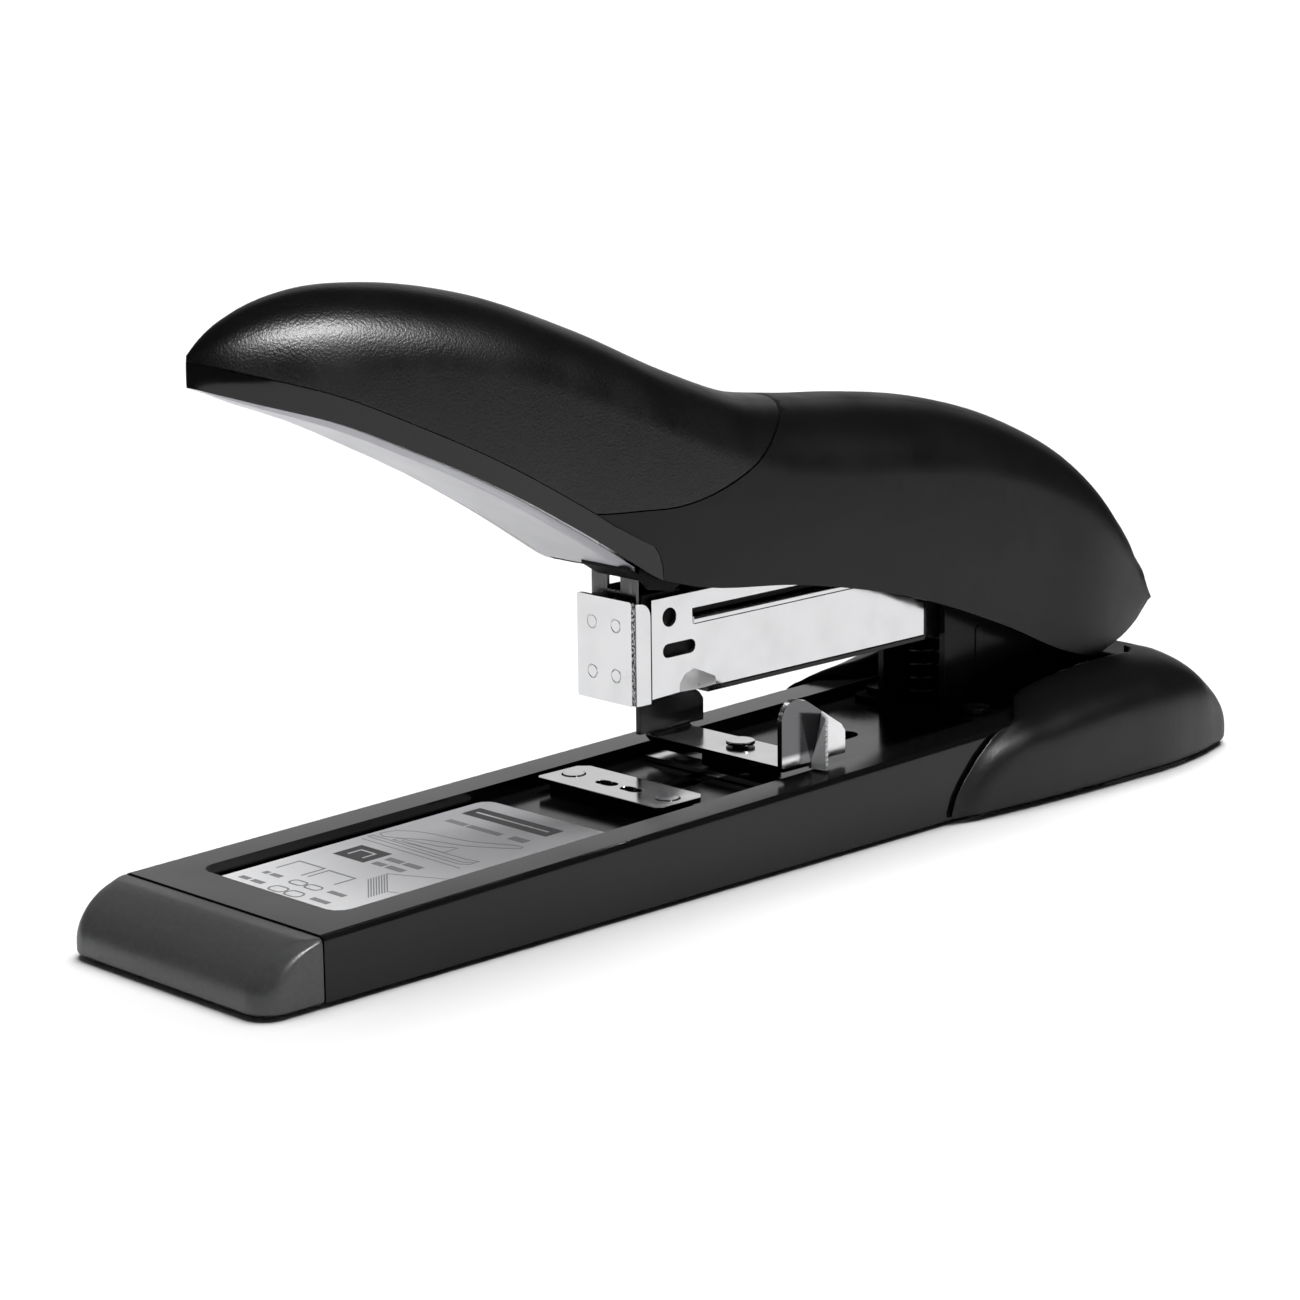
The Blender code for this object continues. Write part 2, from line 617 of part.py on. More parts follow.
def make_head():
    front = prism_y(rounded_box((-7.9, HEAD_BOTTOM), (7.9, HEAD_TOP), 0.5, 2), HEAD_FRONT,
                    HEAD_FRONT + 1)
    finish(front, "front_plate", CHROME, MAGAZINE)
    outer = MAGAZINE_HALF
    inner = outer - MAGAZINE_SHEET
    web_front = HEAD_FRONT + 1 + GAP
    side_end = WALL_FRONT - GAP
    corner = 1.2
    right = [(outer, side_end), (inner, side_end)]
    right += [(inner, web_front + MAGAZINE_SHEET)]
    left = [(-x, y) for x, y in right[::-1]]
    outline = left + [(-outer, web_front + corner), (-outer + corner * 0.3, web_front + corner * 0.3),
                      (-outer + corner, web_front), (outer - corner, web_front),
                      (outer - corner * 0.3, web_front + corner * 0.3), (outer, web_front + corner)]
    wrap = prism_z(outline + right, HEAD_BOTTOM - 0.3, HEAD_TOP - 0.7)
    top = HEAD_TOP - 0.7
    radius = 3.0
    corner_cutter = [(side_end + 1, top + 1), (side_end - radius, top + 1)]
    corner_cutter += arc((side_end - radius, top - radius), radius, 90, 0, 5)
    corner_cutter += [(side_end + 1, top - radius)]
    cut(wrap, prism_x(corner_cutter, -10, 10))
    finish(wrap, "head_wrap", CHROME, MAGAZINE)


def make_magazine_channel():
    top = MAGAZINE_TOP
    outer = MAGAZINE_HALF
    inner = outer - MAGAZINE_SHEET
    outline = [(WALL_FRONT, 34.1), (112, 34.4), (118.3, 35.6), (119.2, WALL_BOTTOM),
               (WALL_REAR, WALL_BOTTOM), (WALL_REAR, 52.4), (181, 53.6), (150, top),
               (WALL_FRONT, top)]
    channel = prism_x(outline, -outer, outer)
    inside = prism_y([(-inner, 0), (inner, 0), (inner, top - MAGAZINE_SHEET),
                      (-inner, top - MAGAZINE_SHEET)], WALL_FRONT - 5, WALL_REAR + 5)
    front_relief = block((-inner, inner), (WALL_FRONT - 5, 113.2), (40, 60))
    hole = rod_x((108.7, 50.4), 1.95, -10, 10, 18)
    slot = prism_x(rounded_box((106.8, 42.1), (116.0, 44.9), 1.35), -10, 10)
    window = prism_x([(115.2, 49.5), (183, 49.5), (183, 51.2), (115.2, 51.2)], -10, 10)
    cut(channel, inside, front_relief, hole, slot, window)
    finish(channel, "magazine_channel", CHROME, MAGAZINE, 35)


def make_magazine_frame():
    top = FRAME_BOTTOM + FRAME_SHEET
    floor = block((-7.9, 7.9), (119.6, 186), (FRAME_BOTTOM, top))
    saddle = block((-ARM_OUTER, ARM_OUTER), (185, 202), (FRAME_BOTTOM, top))
    arm = [(177, 33.5), (202, 33.2), (208, 30.5)]
    arm += arc((PIVOT_Y, PIVOT_Z), 7, -130, 100, 9)
    arm += [(196, 45), (177, 45)]
    plates = [prism_x(arm, *sorted((side * ARM_INNER, side * ARM_OUTER))) for side in (-1, 1)]
    frame = join(floor, saddle, *plates)
    cut(frame, rod_x((PIVOT_Y, PIVOT_Z), PIN_RADIUS + GAP, -15, 15))
    finish(frame, "magazine_frame", BLACK_PAINT, MAGAZINE, 35)


def make_magazine_inside():
    low = FRAME_BOTTOM + FRAME_SHEET + GAP
    core = block((-5.4, 5.4), (104.3, 174), (low, 44.0))
    cut(core, block((-4.4, 4.4), (100, 180), (30, 43.2)))
    finish(core, "staple_core", BLADE_STEEL, MAGAZINE)
    guide_outline = [(102.1, 47.3), (113, 47.3), (113, 55.6), (102.1, 55.6)]
    guide = prism_x(guide_outline, -6.7, 6.7)
    finish(guide, "driver_guide", BLACK_PLASTIC, MAGAZINE)
    rear = block((-5.1, 5.1), (178, 189.6), (low, 52))
    finish(rear, "rear_block", BLACK_PLASTIC, MAGAZINE)
    rod = rod_y((0, ROD_Z), ROD_RADIUS, 113 + GAP, 178 - GAP)
    finish(rod, "pusher_rod", SPRING_STEEL, MAGAZINE, 35)
    liner = block((-6.9, 6.9), (113 + GAP, 178 - GAP), (49.8, MAGAZINE_TOP - MAGAZINE_SHEET - GAP))
    finish(liner, "magazine_top_liner", BLACK_PLASTIC, MAGAZINE)


def make_pusher():
    outline = [(104.7, 36), (126, 36), (126, 49.4), (113.6, 49.4), (113.6, 46.6), (104.7, 46.6)]
    pusher = prism_x(outline, -6.7, 6.7)
    cut(pusher, block((-5.7, 5.7), (100, 130), (30, 44.4)))
    cut(pusher, rod_y((0, ROD_Z), ROD_RADIUS + GAP, 100, 130))
    finish(pusher, "staple_pusher", BLACK_PLASTIC, PUSHER)
    wire = 0.35
    spring = coil((0, 126 + GAP + wire, ROD_Z), (0, 178 - GAP - wire, ROD_Z), 2.2, wire, 13, 8)
    finish(spring, "pusher_spring", SPRING_STEEL, MAGAZINE, 60)


def make_driver():
    half = CROWN / 2
    fork_inner = 1.9
    fork_bottom = 56.2
    outline = [(-half, BLADE_BOTTOM), (half, BLADE_BOTTOM), (half, FORK_TOP),
               (fork_inner, FORK_TOP), (fork_inner, fork_bottom), (-fork_inner, fork_bottom),
               (-fork_inner, FORK_TOP), (-half, FORK_TOP)]
    blade = prism_y(outline, BLADE_FRONT, BLADE_FRONT + BLADE_THICKNESS)
    finish(blade, "driver_blade", BLADE_STEEL, DRIVER)
    head = prism_x(rounded_box((99, FORK_TOP + GAP), (104, DRIVER_TOP), 0.8, 2), -7.4, 7.4)
    finish(head, "driver_head", SPRING_STEEL, DRIVER)


# ---------------------------------------------------------------- handle

def handle_half(y, wall):
    """Widest half width of a handle section, drawn in by the wall."""
    if y >= NOSE_END:
        return smooth(HANDLE_WIDTHS, y) - wall
    tip = HANDLE_TIP + wall * 1.3
    part = min(max((NOSE_END - y) / (NOSE_END - tip), 0), 1)
    rounding = (1 - part**NOSE_POWER) ** (1 / NOSE_POWER)
    return max((HANDLE_WIDTHS[0][1] - wall) * rounding, 0.05)


def handle_edge(y):
    return smooth(HANDLE_EDGE_FRONT if y < HANDLE_CORNER_Y else HANDLE_EDGE_REAR, y)


def handle_ring(y, wall=0.0, drop=0.0):
    """A section of the handle: straight lower sides and a rounded crown."""
    half = handle_half(y, wall)
    low = handle_edge(y)
    top = max(smooth(HANDLE_CREST, y) - wall * 1.25, low + 0.6)
    rise = min(15.5, 0.72 * (top - low))
    shoulder = top - rise
    right = [(half * EDGE_FACTOR, y, low - drop)]
    for part in (0.0, 0.3, 0.65):
        half_here = half * (EDGE_FACTOR + (1 - EDGE_FACTOR) * math.sin(part * math.pi / 2))
        right.append((half_here, y, low + (shoulder - low) * part + 0.01))
    for i in range(11):
        angle = math.pi / 2 * i / 10
        x = half * math.cos(angle) ** (2 / CROWN_POWER)
        right.append((x, y, shoulder + rise * math.sin(angle) ** (2 / CROWN_POWER)))
    left = [(-x, y, z) for x, y, z in right[-2::-1]]
    return right + left


def handle_stations(first, last):
    nose = [first + 16 * (i / 8) ** 2 for i in range(8)]
    start = first + 16
    count = round((last - start) / 8)
    return nose + [start + (last - start) * i / count for i in range(count + 1)]


def make_handle_body():
    body = loft([handle_ring(y) for y in handle_stations(HANDLE_TIP, HANDLE_END)])
    cavity_tip = HANDLE_TIP + HANDLE_WALL * 1.3 + 0.2
    cavity = loft([handle_ring(y, HANDLE_WALL, 30)
                   for y in handle_stations(cavity_tip, HANDLE_END - 4.5)])
    return cut(body, cavity)


def trim_zone(raise_top):
    """Side-view outline of everything below the trim strip's upper edge."""
    stations = [-12] + [-4 + 12.5 * i for i in range(8)]
    top = [(y, handle_edge(y) + TRIM_HEIGHT + raise_top) for y in stations]
    end = [(95.4 + raise_top, 68.6), (97.4 + raise_top, 65.6), (98.3 + raise_top, 62.5),
           (98.6 + raise_top, 40)]
    return top + end + [(-12, 40)]


def grip_zone(shrink):
    """Side-view outline of the soft grip: forward of the seam that curls up over the crest."""
    seam = [(81, 60), (81, 76.2), (92, 75.4), (103, 75), (113, 76.8), (123, 81), (130, 86),
            (138, 89.8), (143.5, 91.2), (147, 92)]
    seam = [(y - shrink, z + shrink) for y, z in seam]
    return [(-15, 60)] + seam + [(147 - shrink, 140), (-15, 140)]


def make_handle_covers():
    far = 40
    trim = keep(make_handle_body(), prism_x(trim_zone(0), -far, far))
    finish(trim, "handle_trim", GLOSS_TRIM, HANDLE, 35)
    grip = cut(make_handle_body(), prism_x(trim_zone(GAP), -far, far))
    keep(grip, prism_x(grip_zone(GAP), -far, far))
    finish(grip, "handle_grip", GRIP_RUBBER, HANDLE, 40)
    shell = cut(make_handle_body(), prism_x(trim_zone(GAP), -far, far))
    cut(shell, prism_x(grip_zone(0), -far, far))
    finish(shell, "handle_shell", SHELL_PLASTIC, HANDLE, 40)


def make_underside_panel():
    """The light panel that closes the front half of the handle from below."""
    rings = []
    for y in handle_stations(HANDLE_TIP + HANDLE_WALL * 1.3 + 0.5, PANEL_END):
        half = max(handle_half(y, HANDLE_WALL) * EDGE_FACTOR - GAP - 0.1, 0.1)
        side = handle_edge(y) + 0.3
        top = handle_edge(y) + PANEL_THICKNESS
        low = handle_edge(y) - PANEL_BULGE * min(half / 8, 1)
        rings.append([(half, y, side), (half, y, top), (-half, y, top), (-half, y, side),
                      (-half * 0.82, y, low), (half * 0.82, y, low)])
    finish(loft(rings), "handle_underside", LIGHT_PANEL, HANDLE, 35)


def make_handle_lever():
    lower = [(222, 30.5), (200, 39.5), (175, 50), (150, 57), (120, 63), (96, 70), (72, 84)]
    upper = [(72, 92), (100, 85), (130, 79.5), (160, 73), (190, 62), (206, 52)]
    outline = lower + upper + arc((PIVOT_Y, PIVOT_Z), 9, 100, -35, 7)
    lever = prism_x(outline, -LEVER_OUTER, LEVER_OUTER)
    sheet = LEVER_OUTER - LEVER_INNER
    below = [(y, z - sheet) for y, z in upper]
    inside = [(250, 0), (60, 0), (60, 96)] + below + [(215, 50), (250, 50)]
    cut(lever, prism_x(inside, -LEVER_INNER, LEVER_INNER))
    cut(lever, rod_x((PIVOT_Y, PIVOT_Z), PIN_RADIUS + GAP, -20, 20))
    cut(lever, rod_x(DRIVE_PIN, DRIVE_PIN_RADIUS + GAP, -20, 20, 12))
    for centre, reach in MOUNT_PINS.values():
        cut(lever, rod_x(centre, MOUNT_PIN_RADIUS + GAP, -reach - 1, reach + 1, 12))
    finish(lever, "handle_lever", SPRING_STEEL, HANDLE, 35)


def make_handle_fittings():
    drive_pin = rod_x(DRIVE_PIN, DRIVE_PIN_RADIUS, -LEVER_OUTER - 1, LEVER_OUTER + 1, 12)
    finish(drive_pin, "drive_pin", SPRING_STEEL, HANDLE, 35)
    for place, (centre, reach) in MOUNT_PINS.items():
        pin = rod_x(centre, MOUNT_PIN_RADIUS, -reach, reach, 12)
        finish(pin, "mount_pin_" + place, SPRING_STEEL, HANDLE, 35)
    wire = 0.7
    low = MAGAZINE_TOP + GAP + wire
    spring = coil((0, 148, low), (0, 148, 73.2 - GAP - wire), 5, wire, 5)
    finish(spring, "handle_return_spring", SPRING_STEEL, MAGAZINE, 60)


# ---------------------------------------------------------------- assembly

make_base_rail()
make_front_cap()
make_rear_cover()
make_label_plate()
make_anvil()
make_pads()
make_pivot_bracket()
make_pivot_pin()
make_lift_spring()
make_stop_arm()
make_stop_fittings()
make_head()
make_magazine_channel()
make_magazine_frame()
make_magazine_inside()
make_pusher()
make_driver()
make_handle_covers()
make_underside_panel()
make_handle_lever()
make_handle_fittings()
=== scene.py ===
import math

import bmesh
import bpy
from mathutils import Matrix, Vector


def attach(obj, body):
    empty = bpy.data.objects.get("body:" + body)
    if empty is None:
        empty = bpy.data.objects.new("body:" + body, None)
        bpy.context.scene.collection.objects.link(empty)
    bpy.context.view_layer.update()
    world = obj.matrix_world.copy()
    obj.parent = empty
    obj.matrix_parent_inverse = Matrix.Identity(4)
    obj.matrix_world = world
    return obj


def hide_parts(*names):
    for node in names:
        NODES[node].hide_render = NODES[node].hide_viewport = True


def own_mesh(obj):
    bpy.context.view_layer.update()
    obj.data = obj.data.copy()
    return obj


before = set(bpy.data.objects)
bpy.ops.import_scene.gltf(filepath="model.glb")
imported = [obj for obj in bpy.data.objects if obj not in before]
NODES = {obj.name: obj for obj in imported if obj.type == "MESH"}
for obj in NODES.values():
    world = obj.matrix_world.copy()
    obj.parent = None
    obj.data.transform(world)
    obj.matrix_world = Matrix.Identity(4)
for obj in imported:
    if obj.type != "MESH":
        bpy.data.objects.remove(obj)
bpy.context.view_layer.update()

# Lengths are in millimetres in the frame that the stapler is designed in: X from its middle
# plane, Y from the front end of the base rail and Z from the rail's underside.
MM = 0.001
MIDDLE = 128.0
PAD_HEIGHT = 1.0
GAP = 0.3

ANVIL_TOP = 15.1

# The paper stop: half its width over the wings, and the front ends of its wings and strip.
STOP_HALF = 21.4
STOP_FRONT = 127.2
STOP_STRIP_FRONT = 129.5


def place(x, y, z):
    """A point of the design as a point of the part's frame, in metres."""
    return Vector((x, y - MIDDLE, z + PAD_HEIGHT)) * MM


# ---------------------------------------------------------------- geometry helpers

def smooth(points, at):
    """Height at a station of the smooth curve through (station, height) points."""
    at = min(max(at, points[0][0]), points[-1][0])
    slopes = [(b[1] - a[1]) / (b[0] - a[0]) for a, b in zip(points, points[1:])]
    spans = [b[0] - a[0] for a, b in zip(points, points[1:])]
    tangents = [slopes[0]]
    for i in range(1, len(slopes)):
        weighted = slopes[i - 1] * spans[i] + slopes[i] * spans[i - 1]
        tangents.append(weighted / (spans[i - 1] + spans[i]))
    tangents.append(slopes[-1])
    for i, span in enumerate(spans):
        if at <= points[i + 1][0]:
            t = (at - points[i][0]) / span
            start = (2 * t**3 - 3 * t**2 + 1) * points[i][1]
            start += (t**3 - 2 * t**2 + t) * span * tangents[i]
            end = (-2 * t**3 + 3 * t**2) * points[i + 1][1]
            end += (t**3 - t**2) * span * tangents[i + 1]
            return start + end
    return points[-1][1]


def arc(centre, radius, start, end, steps):
    """Points on an arc in a plane, with the angles in degrees."""
    angles = [math.radians(start + (end - start) * i / steps) for i in range(steps + 1)]
    return [(centre[0] + radius * math.cos(a), centre[1] + radius * math.sin(a)) for a in angles]


def circle(centre, radius, sides):
    return arc(centre, radius, 0, 360 * (sides - 1) / sides, sides - 1)


def rounded_box(low, high, radius, steps=3):
    """Outline of a rectangle with round corners."""
    corners = [(high[0] - radius, low[1] + radius, -90), (high[0] - radius, high[1] - radius, 0),
               (low[0] + radius, high[1] - radius, 90), (low[0] + radius, low[1] + radius, 180)]
    outline = []
    for a, b, start in corners:
        outline += arc((a, b), radius, start, start + 90, steps)
    return outline


def new_object(name, mesh):
    made = bpy.data.objects.new(name, mesh)
    bpy.context.scene.collection.objects.link(made)
    return made


def loft(rings):
    """A closed solid through rings of the same number of points, with flat ends."""
    shape = bmesh.new()
    layers = [[shape.verts.new(place(*point)) for point in ring] for ring in rings]
    for lower, upper in zip(layers, layers[1:]):
        for i in range(len(lower)):
            j = (i + 1) % len(lower)
            shape.faces.new((lower[i], lower[j], upper[j], upper[i]))
    shape.faces.new(layers[0][::-1])
    shape.faces.new(layers[-1])
    bmesh.ops.recalc_face_normals(shape, faces=shape.faces)
    mesh = bpy.data.meshes.new("solid")
    shape.to_mesh(mesh)
    shape.free()
    return new_object("solid", mesh)


def prism_x(outline, low, high):
    """A side-view outline of (y, z) points carried across from one x to another."""
    return loft([[(x, y, z) for y, z in outline] for x in (low, high)])


def prism_y(outline, low, high):
    return loft([[(x, y, z) for x, z in outline] for y in (low, high)])


def prism_z(outline, low, high):
    """A plan outline between two levels, each a height or a function of y."""
    levels = [level if callable(level) else (lambda y, level=level: level) for level in (low, high)]
    return loft([[(x, y, level(y)) for x, y in outline] for level in levels])


def block(x, y, z):
    outline = [(x[0], y[0]), (x[1], y[0]), (x[1], y[1]), (x[0], y[1])]
    return prism_z(outline, z[0], z[1])


def bake(solid):
    """Replaces a solid's mesh by what its modifiers make of it."""
    graph = bpy.context.evaluated_depsgraph_get()
    mesh = bpy.data.meshes.new_from_object(solid.evaluated_get(graph))
    solid.modifiers.clear()
    solid.data = mesh
    return solid


def combine(solid, tool, operation):
    """Applies one Boolean to a solid and removes the tool."""
    modifier = solid.modifiers.new("combine", "BOOLEAN")
    modifier.operation = operation
    modifier.object = tool
    bake(solid)
    bpy.data.objects.remove(tool)
    return solid


def cut(solid, *tools):
    for tool in tools:
        combine(solid, tool, "DIFFERENCE")
    return solid


def keep(solid, tool):
    return combine(solid, tool, "INTERSECT")


# ---------------------------------------------------------------- materials

class Look:
    """A Principled material with short calls for the detail that the looks share."""

    def __init__(self, name, colour, roughness, metallic=0.0, specular=0.5):
        self.material = bpy.data.materials.new("look_" + name)
        self.material.use_nodes = True
        self.material.diffuse_color = (*colour, 1.0)
        self.tree = self.material.node_tree
        self.shader = self.tree.nodes["Principled BSDF"]
        self.set("Base Color", (*colour, 1.0))
        self.set("Roughness", roughness)
        self.set("Metallic", metallic)
        self.set("Specular IOR Level", specular)
        self.place = self.node("ShaderNodeTexCoord").outputs["Object"]

    def node(self, kind, **values):
        made = self.tree.nodes.new(kind)
        for key, value in values.items():
            setattr(made, key, value)
        return made

    def link(self, source, target):
        self.tree.links.new(source, target)

    def set(self, name, value):
        self.shader.inputs[name].default_value = value

    def noise(self, scale, detail=2.0, stretch=(1, 1, 1), roughness=0.5):
        """Noise over the object, with its scale per metre."""
        mapping = self.node("ShaderNodeMapping")
        mapping.inputs["Scale"].default_value = stretch
        self.link(self.place, mapping.inputs["Vector"])
        made = self.node("ShaderNodeTexNoise")
        made.inputs["Scale"].default_value = scale
        made.inputs["Detail"].default_value = detail
        made.inputs["Roughness"].default_value = roughness
        self.link(mapping.outputs["Vector"], made.inputs["Vector"])
        return made.outputs["Fac"]

    def cells(self, scale):
        """Distance to the nearest of many scattered points, for a moulded grain."""
        made = self.node("ShaderNodeTexVoronoi")
        made.inputs["Scale"].default_value = scale
        self.link(self.place, made.inputs["Vector"])
        return made.outputs["Distance"]

    def spread(self, source, low, high, to_low, to_high, soft=False):
        made = self.node("ShaderNodeMapRange")
        if soft:
            made.interpolation_type = "SMOOTHSTEP"
        for name, value in (("From Min", low), ("From Max", high), ("To Min", to_low),
                            ("To Max", to_high)):
            made.inputs[name].default_value = value
        self.link(source, made.inputs["Value"])
        return made.outputs["Result"]

    def axis(self, name):
        """One coordinate of the object's own space, in metres."""
        made = self.node("ShaderNodeSeparateXYZ")
        self.link(self.place, made.inputs["Vector"])
        return made.outputs[name]

    def maths(self, operation, first, second):
        made = self.node("ShaderNodeMath", operation=operation)
        for slot, value in zip(made.inputs, (first, second)):
            if isinstance(value, (int, float)):
                slot.default_value = value
            else:
                self.link(value, slot)
        return made.outputs["Value"]

    def bump(self, height, depth):
        """Adds relief of that depth in metres on top of any relief before it."""
        made = self.node("ShaderNodeBump")
        made.inputs["Distance"].default_value = depth
        self.link(height, made.inputs["Height"])
        normal = self.shader.inputs["Normal"]
        if normal.links:
            self.link(normal.links[0].from_socket, made.inputs["Normal"])
        self.link(made.outputs["Normal"], normal)

    def blend_colour(self, share, other):
        """Mixes another colour in where the share rises."""
        made = self.node("ShaderNodeMix", data_type="RGBA")
        target = self.shader.inputs["Base Color"]
        if target.links:
            self.link(target.links[0].from_socket, made.inputs["A"])
        else:
            made.inputs["A"].default_value = target.default_value[:]
        made.inputs["B"].default_value = (*other, 1.0)
        self.link(share, made.inputs["Factor"])
        self.link(made.outputs["Result"], target)

    def vary_roughness(self, share, low, high):
        self.link(self.spread(share, 0.3, 0.7, low, high), self.shader.inputs["Roughness"])

    def above(self, source, level, width):
        """Share that rises from 0 to 1 over a width past a level, both in millimetres."""
        return self.spread(source, level * MM, (level + width) * MM, 0, 1)

    def below(self, source, level, width):
        """Share that falls from 1 to 0 over a width past a level, both in millimetres."""
        return self.spread(source, level * MM, (level + width) * MM, 1, 0)

    def both(self, first, second):
        return self.maths("MULTIPLY", first, second)


def black_paint(name="black_paint", specular=0.27):
    """Satin black enamel on steel, with a slight orange peel and a faint dust."""
    look = Look(name, (0.006, 0.006, 0.0063), 0.16, specular=specular)
    look.vary_roughness(look.noise(60, 3), 0.13, 0.19)
    look.blend_colour(look.spread(look.noise(45, 3), 0.45, 0.75, 0, 0.6), (0.01, 0.01, 0.0105))
    look.bump(look.noise(260, 2), 0.000008)
    return look.material


def moulded(name, colour, roughness, grain, depth, specular=0.5):
    """Moulded plastic with a fine eroded grain that hides its gloss at a glancing angle."""
    look = Look(name, colour, roughness, specular=specular)
    facing = look.node("ShaderNodeLayerWeight").outputs["Facing"]
    glancing = specular * 0.1
    look.link(look.spread(facing, 0.5, 0.8, specular, glancing),
              look.shader.inputs["Specular IOR Level"])
    look.vary_roughness(look.noise(80, 3), roughness - 0.04, roughness + 0.05)
    lighter = tuple(min(1.0, c * 1.25) for c in colour)
    look.blend_colour(look.spread(look.noise(900, 3), 0.4, 0.7, 0, 0.7), lighter)
    look.bump(look.noise(grain, 3, roughness=0.65), depth)
    look.bump(look.cells(grain * 0.55), depth * 0.5)
    return look


def cap_plastic():
    return moulded("cap_plastic", (0.066, 0.066, 0.068), 0.34, 2600, 0.000018, 0.5).material


def cover_plastic():
    return moulded("cover_plastic", (0.004, 0.004, 0.0042), 0.34, 2400, 0.000014, 0.27).material


def shell_plastic():
    return moulded("shell_plastic", (0.004, 0.0039, 0.0041), 0.36, 2400, 0.000012, 0.22).material


def grip_rubber():
    """Soft-touch grip with a coarser grain that sparkles in the light."""
    look = moulded("grip_rubber", (0.003, 0.003, 0.0032), 0.32, 2600, 0.000016, 0.36)
    look.bump(look.noise(2100, 1), 0.00005)
    return look.material


def gloss_trim():
    look = Look("gloss_trim", (0.004, 0.004, 0.0045), 0.1, specular=0.4)
    look.vary_roughness(look.noise(50, 3), 0.07, 0.14)
    look.bump(look.noise(70, 2), 0.00006)
    return look.material


def light_panel():
    look = Look("light_panel", (0.47, 0.47, 0.5), 0.38)
    look.vary_roughness(look.noise(70, 3), 0.33, 0.44)
    look.blend_colour(look.spread(look.noise(30, 4), 0.4, 0.7, 0, 0.5), (0.43, 0.43, 0.46))
    look.bump(look.noise(2200, 2), 0.00001)
    return look.material


def label():
    """Silvery printed film, a little darker towards the rear."""
    look = Look("label", (0.95, 0.95, 0.96), 0.32, specular=0.4)
    bright_until = place(0, 10, 0).y
    dull_from = place(0, 58, 0).y
    along = look.spread(look.axis("Y"), bright_until, dull_from, 0, 1, soft=True)
    look.blend_colour(along, (0.53, 0.53, 0.55))
    look.vary_roughness(look.noise(120, 4), 0.28, 0.4)
    look.bump(look.noise(1400, 2), 0.000004)
    return look.material


def ink(name, colour):
    look = Look(name, colour, 0.45, specular=0.4)
    look.blend_colour(look.spread(look.noise(2600, 2), 0.45, 0.7, 0, 0.5),
                      tuple(c * 1.35 for c in colour))
    return look.material


def bright_metal(name, colour, roughness):
    """Plated sheet steel: mottled by rolling, with a few fine scratches and uneven gloss."""
    look = Look(name, colour, roughness, metallic=1.0)
    look.vary_roughness(look.noise(120, 5), roughness * 0.7, roughness * 1.5)
    look.blend_colour(look.spread(look.noise(160, 5), 0.45, 0.72, 0, 0.55),
                      tuple(c * 0.86 for c in colour))
    look.bump(look.noise(110, 2), 0.00006)
    look.bump(look.noise(900, 3, stretch=(1, 0.12, 1)), 0.000004)
    return look


def chrome():
    return bright_metal("chrome", (0.64, 0.64, 0.65), 0.11).material


def stop_metal():
    """The paper stop's plated sheet, with painted dark reflections on its wings' outer faces and
    painted shade on its front edges.
    """
    look = bright_metal("stop_metal", (0.7, 0.7, 0.71), 0.14)
    shadow = (0.02, 0.02, 0.02)
    shadow_of_rivet = (0.03, 0.03, 0.03)
    across = look.maths("ABSOLUTE", look.axis("X"), 0)
    along = look.axis("Y")
    height = look.axis("Z")

    # The wings' outer faces ahead of the sloping fold where the thumb tab starts are painted
    # darker: a painted reflection of the dark surroundings.
    fold_slope = 0.31
    fold = look.maths("SUBTRACT", along, look.maths("MULTIPLY", height, fold_slope))
    wing_face = look.both(look.above(across, STOP_HALF - 0.15, 0.1),
                          look.below(across, STOP_HALF + 0.05, 0.05))
    before_fold = look.both(wing_face, look.below(fold, 2.2, 0.2))
    look.blend_colour(look.both(before_fold, look.above(height, 20.2, 1)), (0.13, 0.13, 0.135))

    # The front edges of the wings and the strip and the rivet's side are painted dark as painted
    # shade, and the tab is less metallic.
    wing_front = look.below(along, STOP_FRONT - MIDDLE + 0.08, 0.04)
    look.blend_colour(wing_front, shadow)
    strip_front = look.both(look.below(along, STOP_STRIP_FRONT - MIDDLE + 0.08, 0.04),
                            look.below(height, 18.1, 0.05))
    look.blend_colour(strip_front, shadow)

    tab = look.above(across, STOP_HALF + 0.1, 0.1)
    look.link(look.spread(tab, 0, 1, 1, 0.1), look.shader.inputs["Metallic"])
    rivet_side = look.both(look.above(height, 18.24, 0.04), look.below(height, 19.08, 0.04))
    look.blend_colour(look.both(rivet_side, look.below(across, 5, 0.1)), shadow_of_rivet)
    return look.material


def anvil_metal():
    """The anvil's plated top, with painted shade in the clinching pockets and on the cut edges
    below the top.
    """
    look = bright_metal("anvil_metal", (0.64, 0.64, 0.65), 0.11)
    below_top = look.below(look.axis("Z"), ANVIL_TOP + PAD_HEIGHT - 0.16, 0.06)
    look.blend_colour(below_top, (0.03, 0.03, 0.03))
    return look.material


def lug_metal():
    """Plated steel with a duller, drawn surface."""
    look = bright_metal("lug_metal", (0.7, 0.7, 0.71), 0.3)
    look.set("Metallic", 0.45)
    return look.material


def blade_steel():
    look = Look("blade_steel", (0.11, 0.11, 0.113), 0.3, metallic=1.0)
    look.vary_roughness(look.noise(1500, 3, stretch=(1, 1, 0.08)), 0.22, 0.42)
    look.bump(look.noise(2500, 2, stretch=(1, 1, 0.05)), 0.000006)
    return look.material


def spring_steel():
    look = Look("spring_steel", (0.045, 0.045, 0.047), 0.28, metallic=1.0)
    look.vary_roughness(look.noise(300, 4), 0.2, 0.42)
    look.bump(look.noise(1500, 3), 0.000008)
    return look.material


def black_plastic():
    return moulded("black_plastic", (0.006, 0.006, 0.006), 0.45, 1800, 0.00002, 0.08).material


def pad_rubber():
    look = Look("pad_rubber", (0.013, 0.013, 0.013), 0.8, specular=0.3)
    look.bump(look.noise(1500, 4), 0.00005)
    return look.material


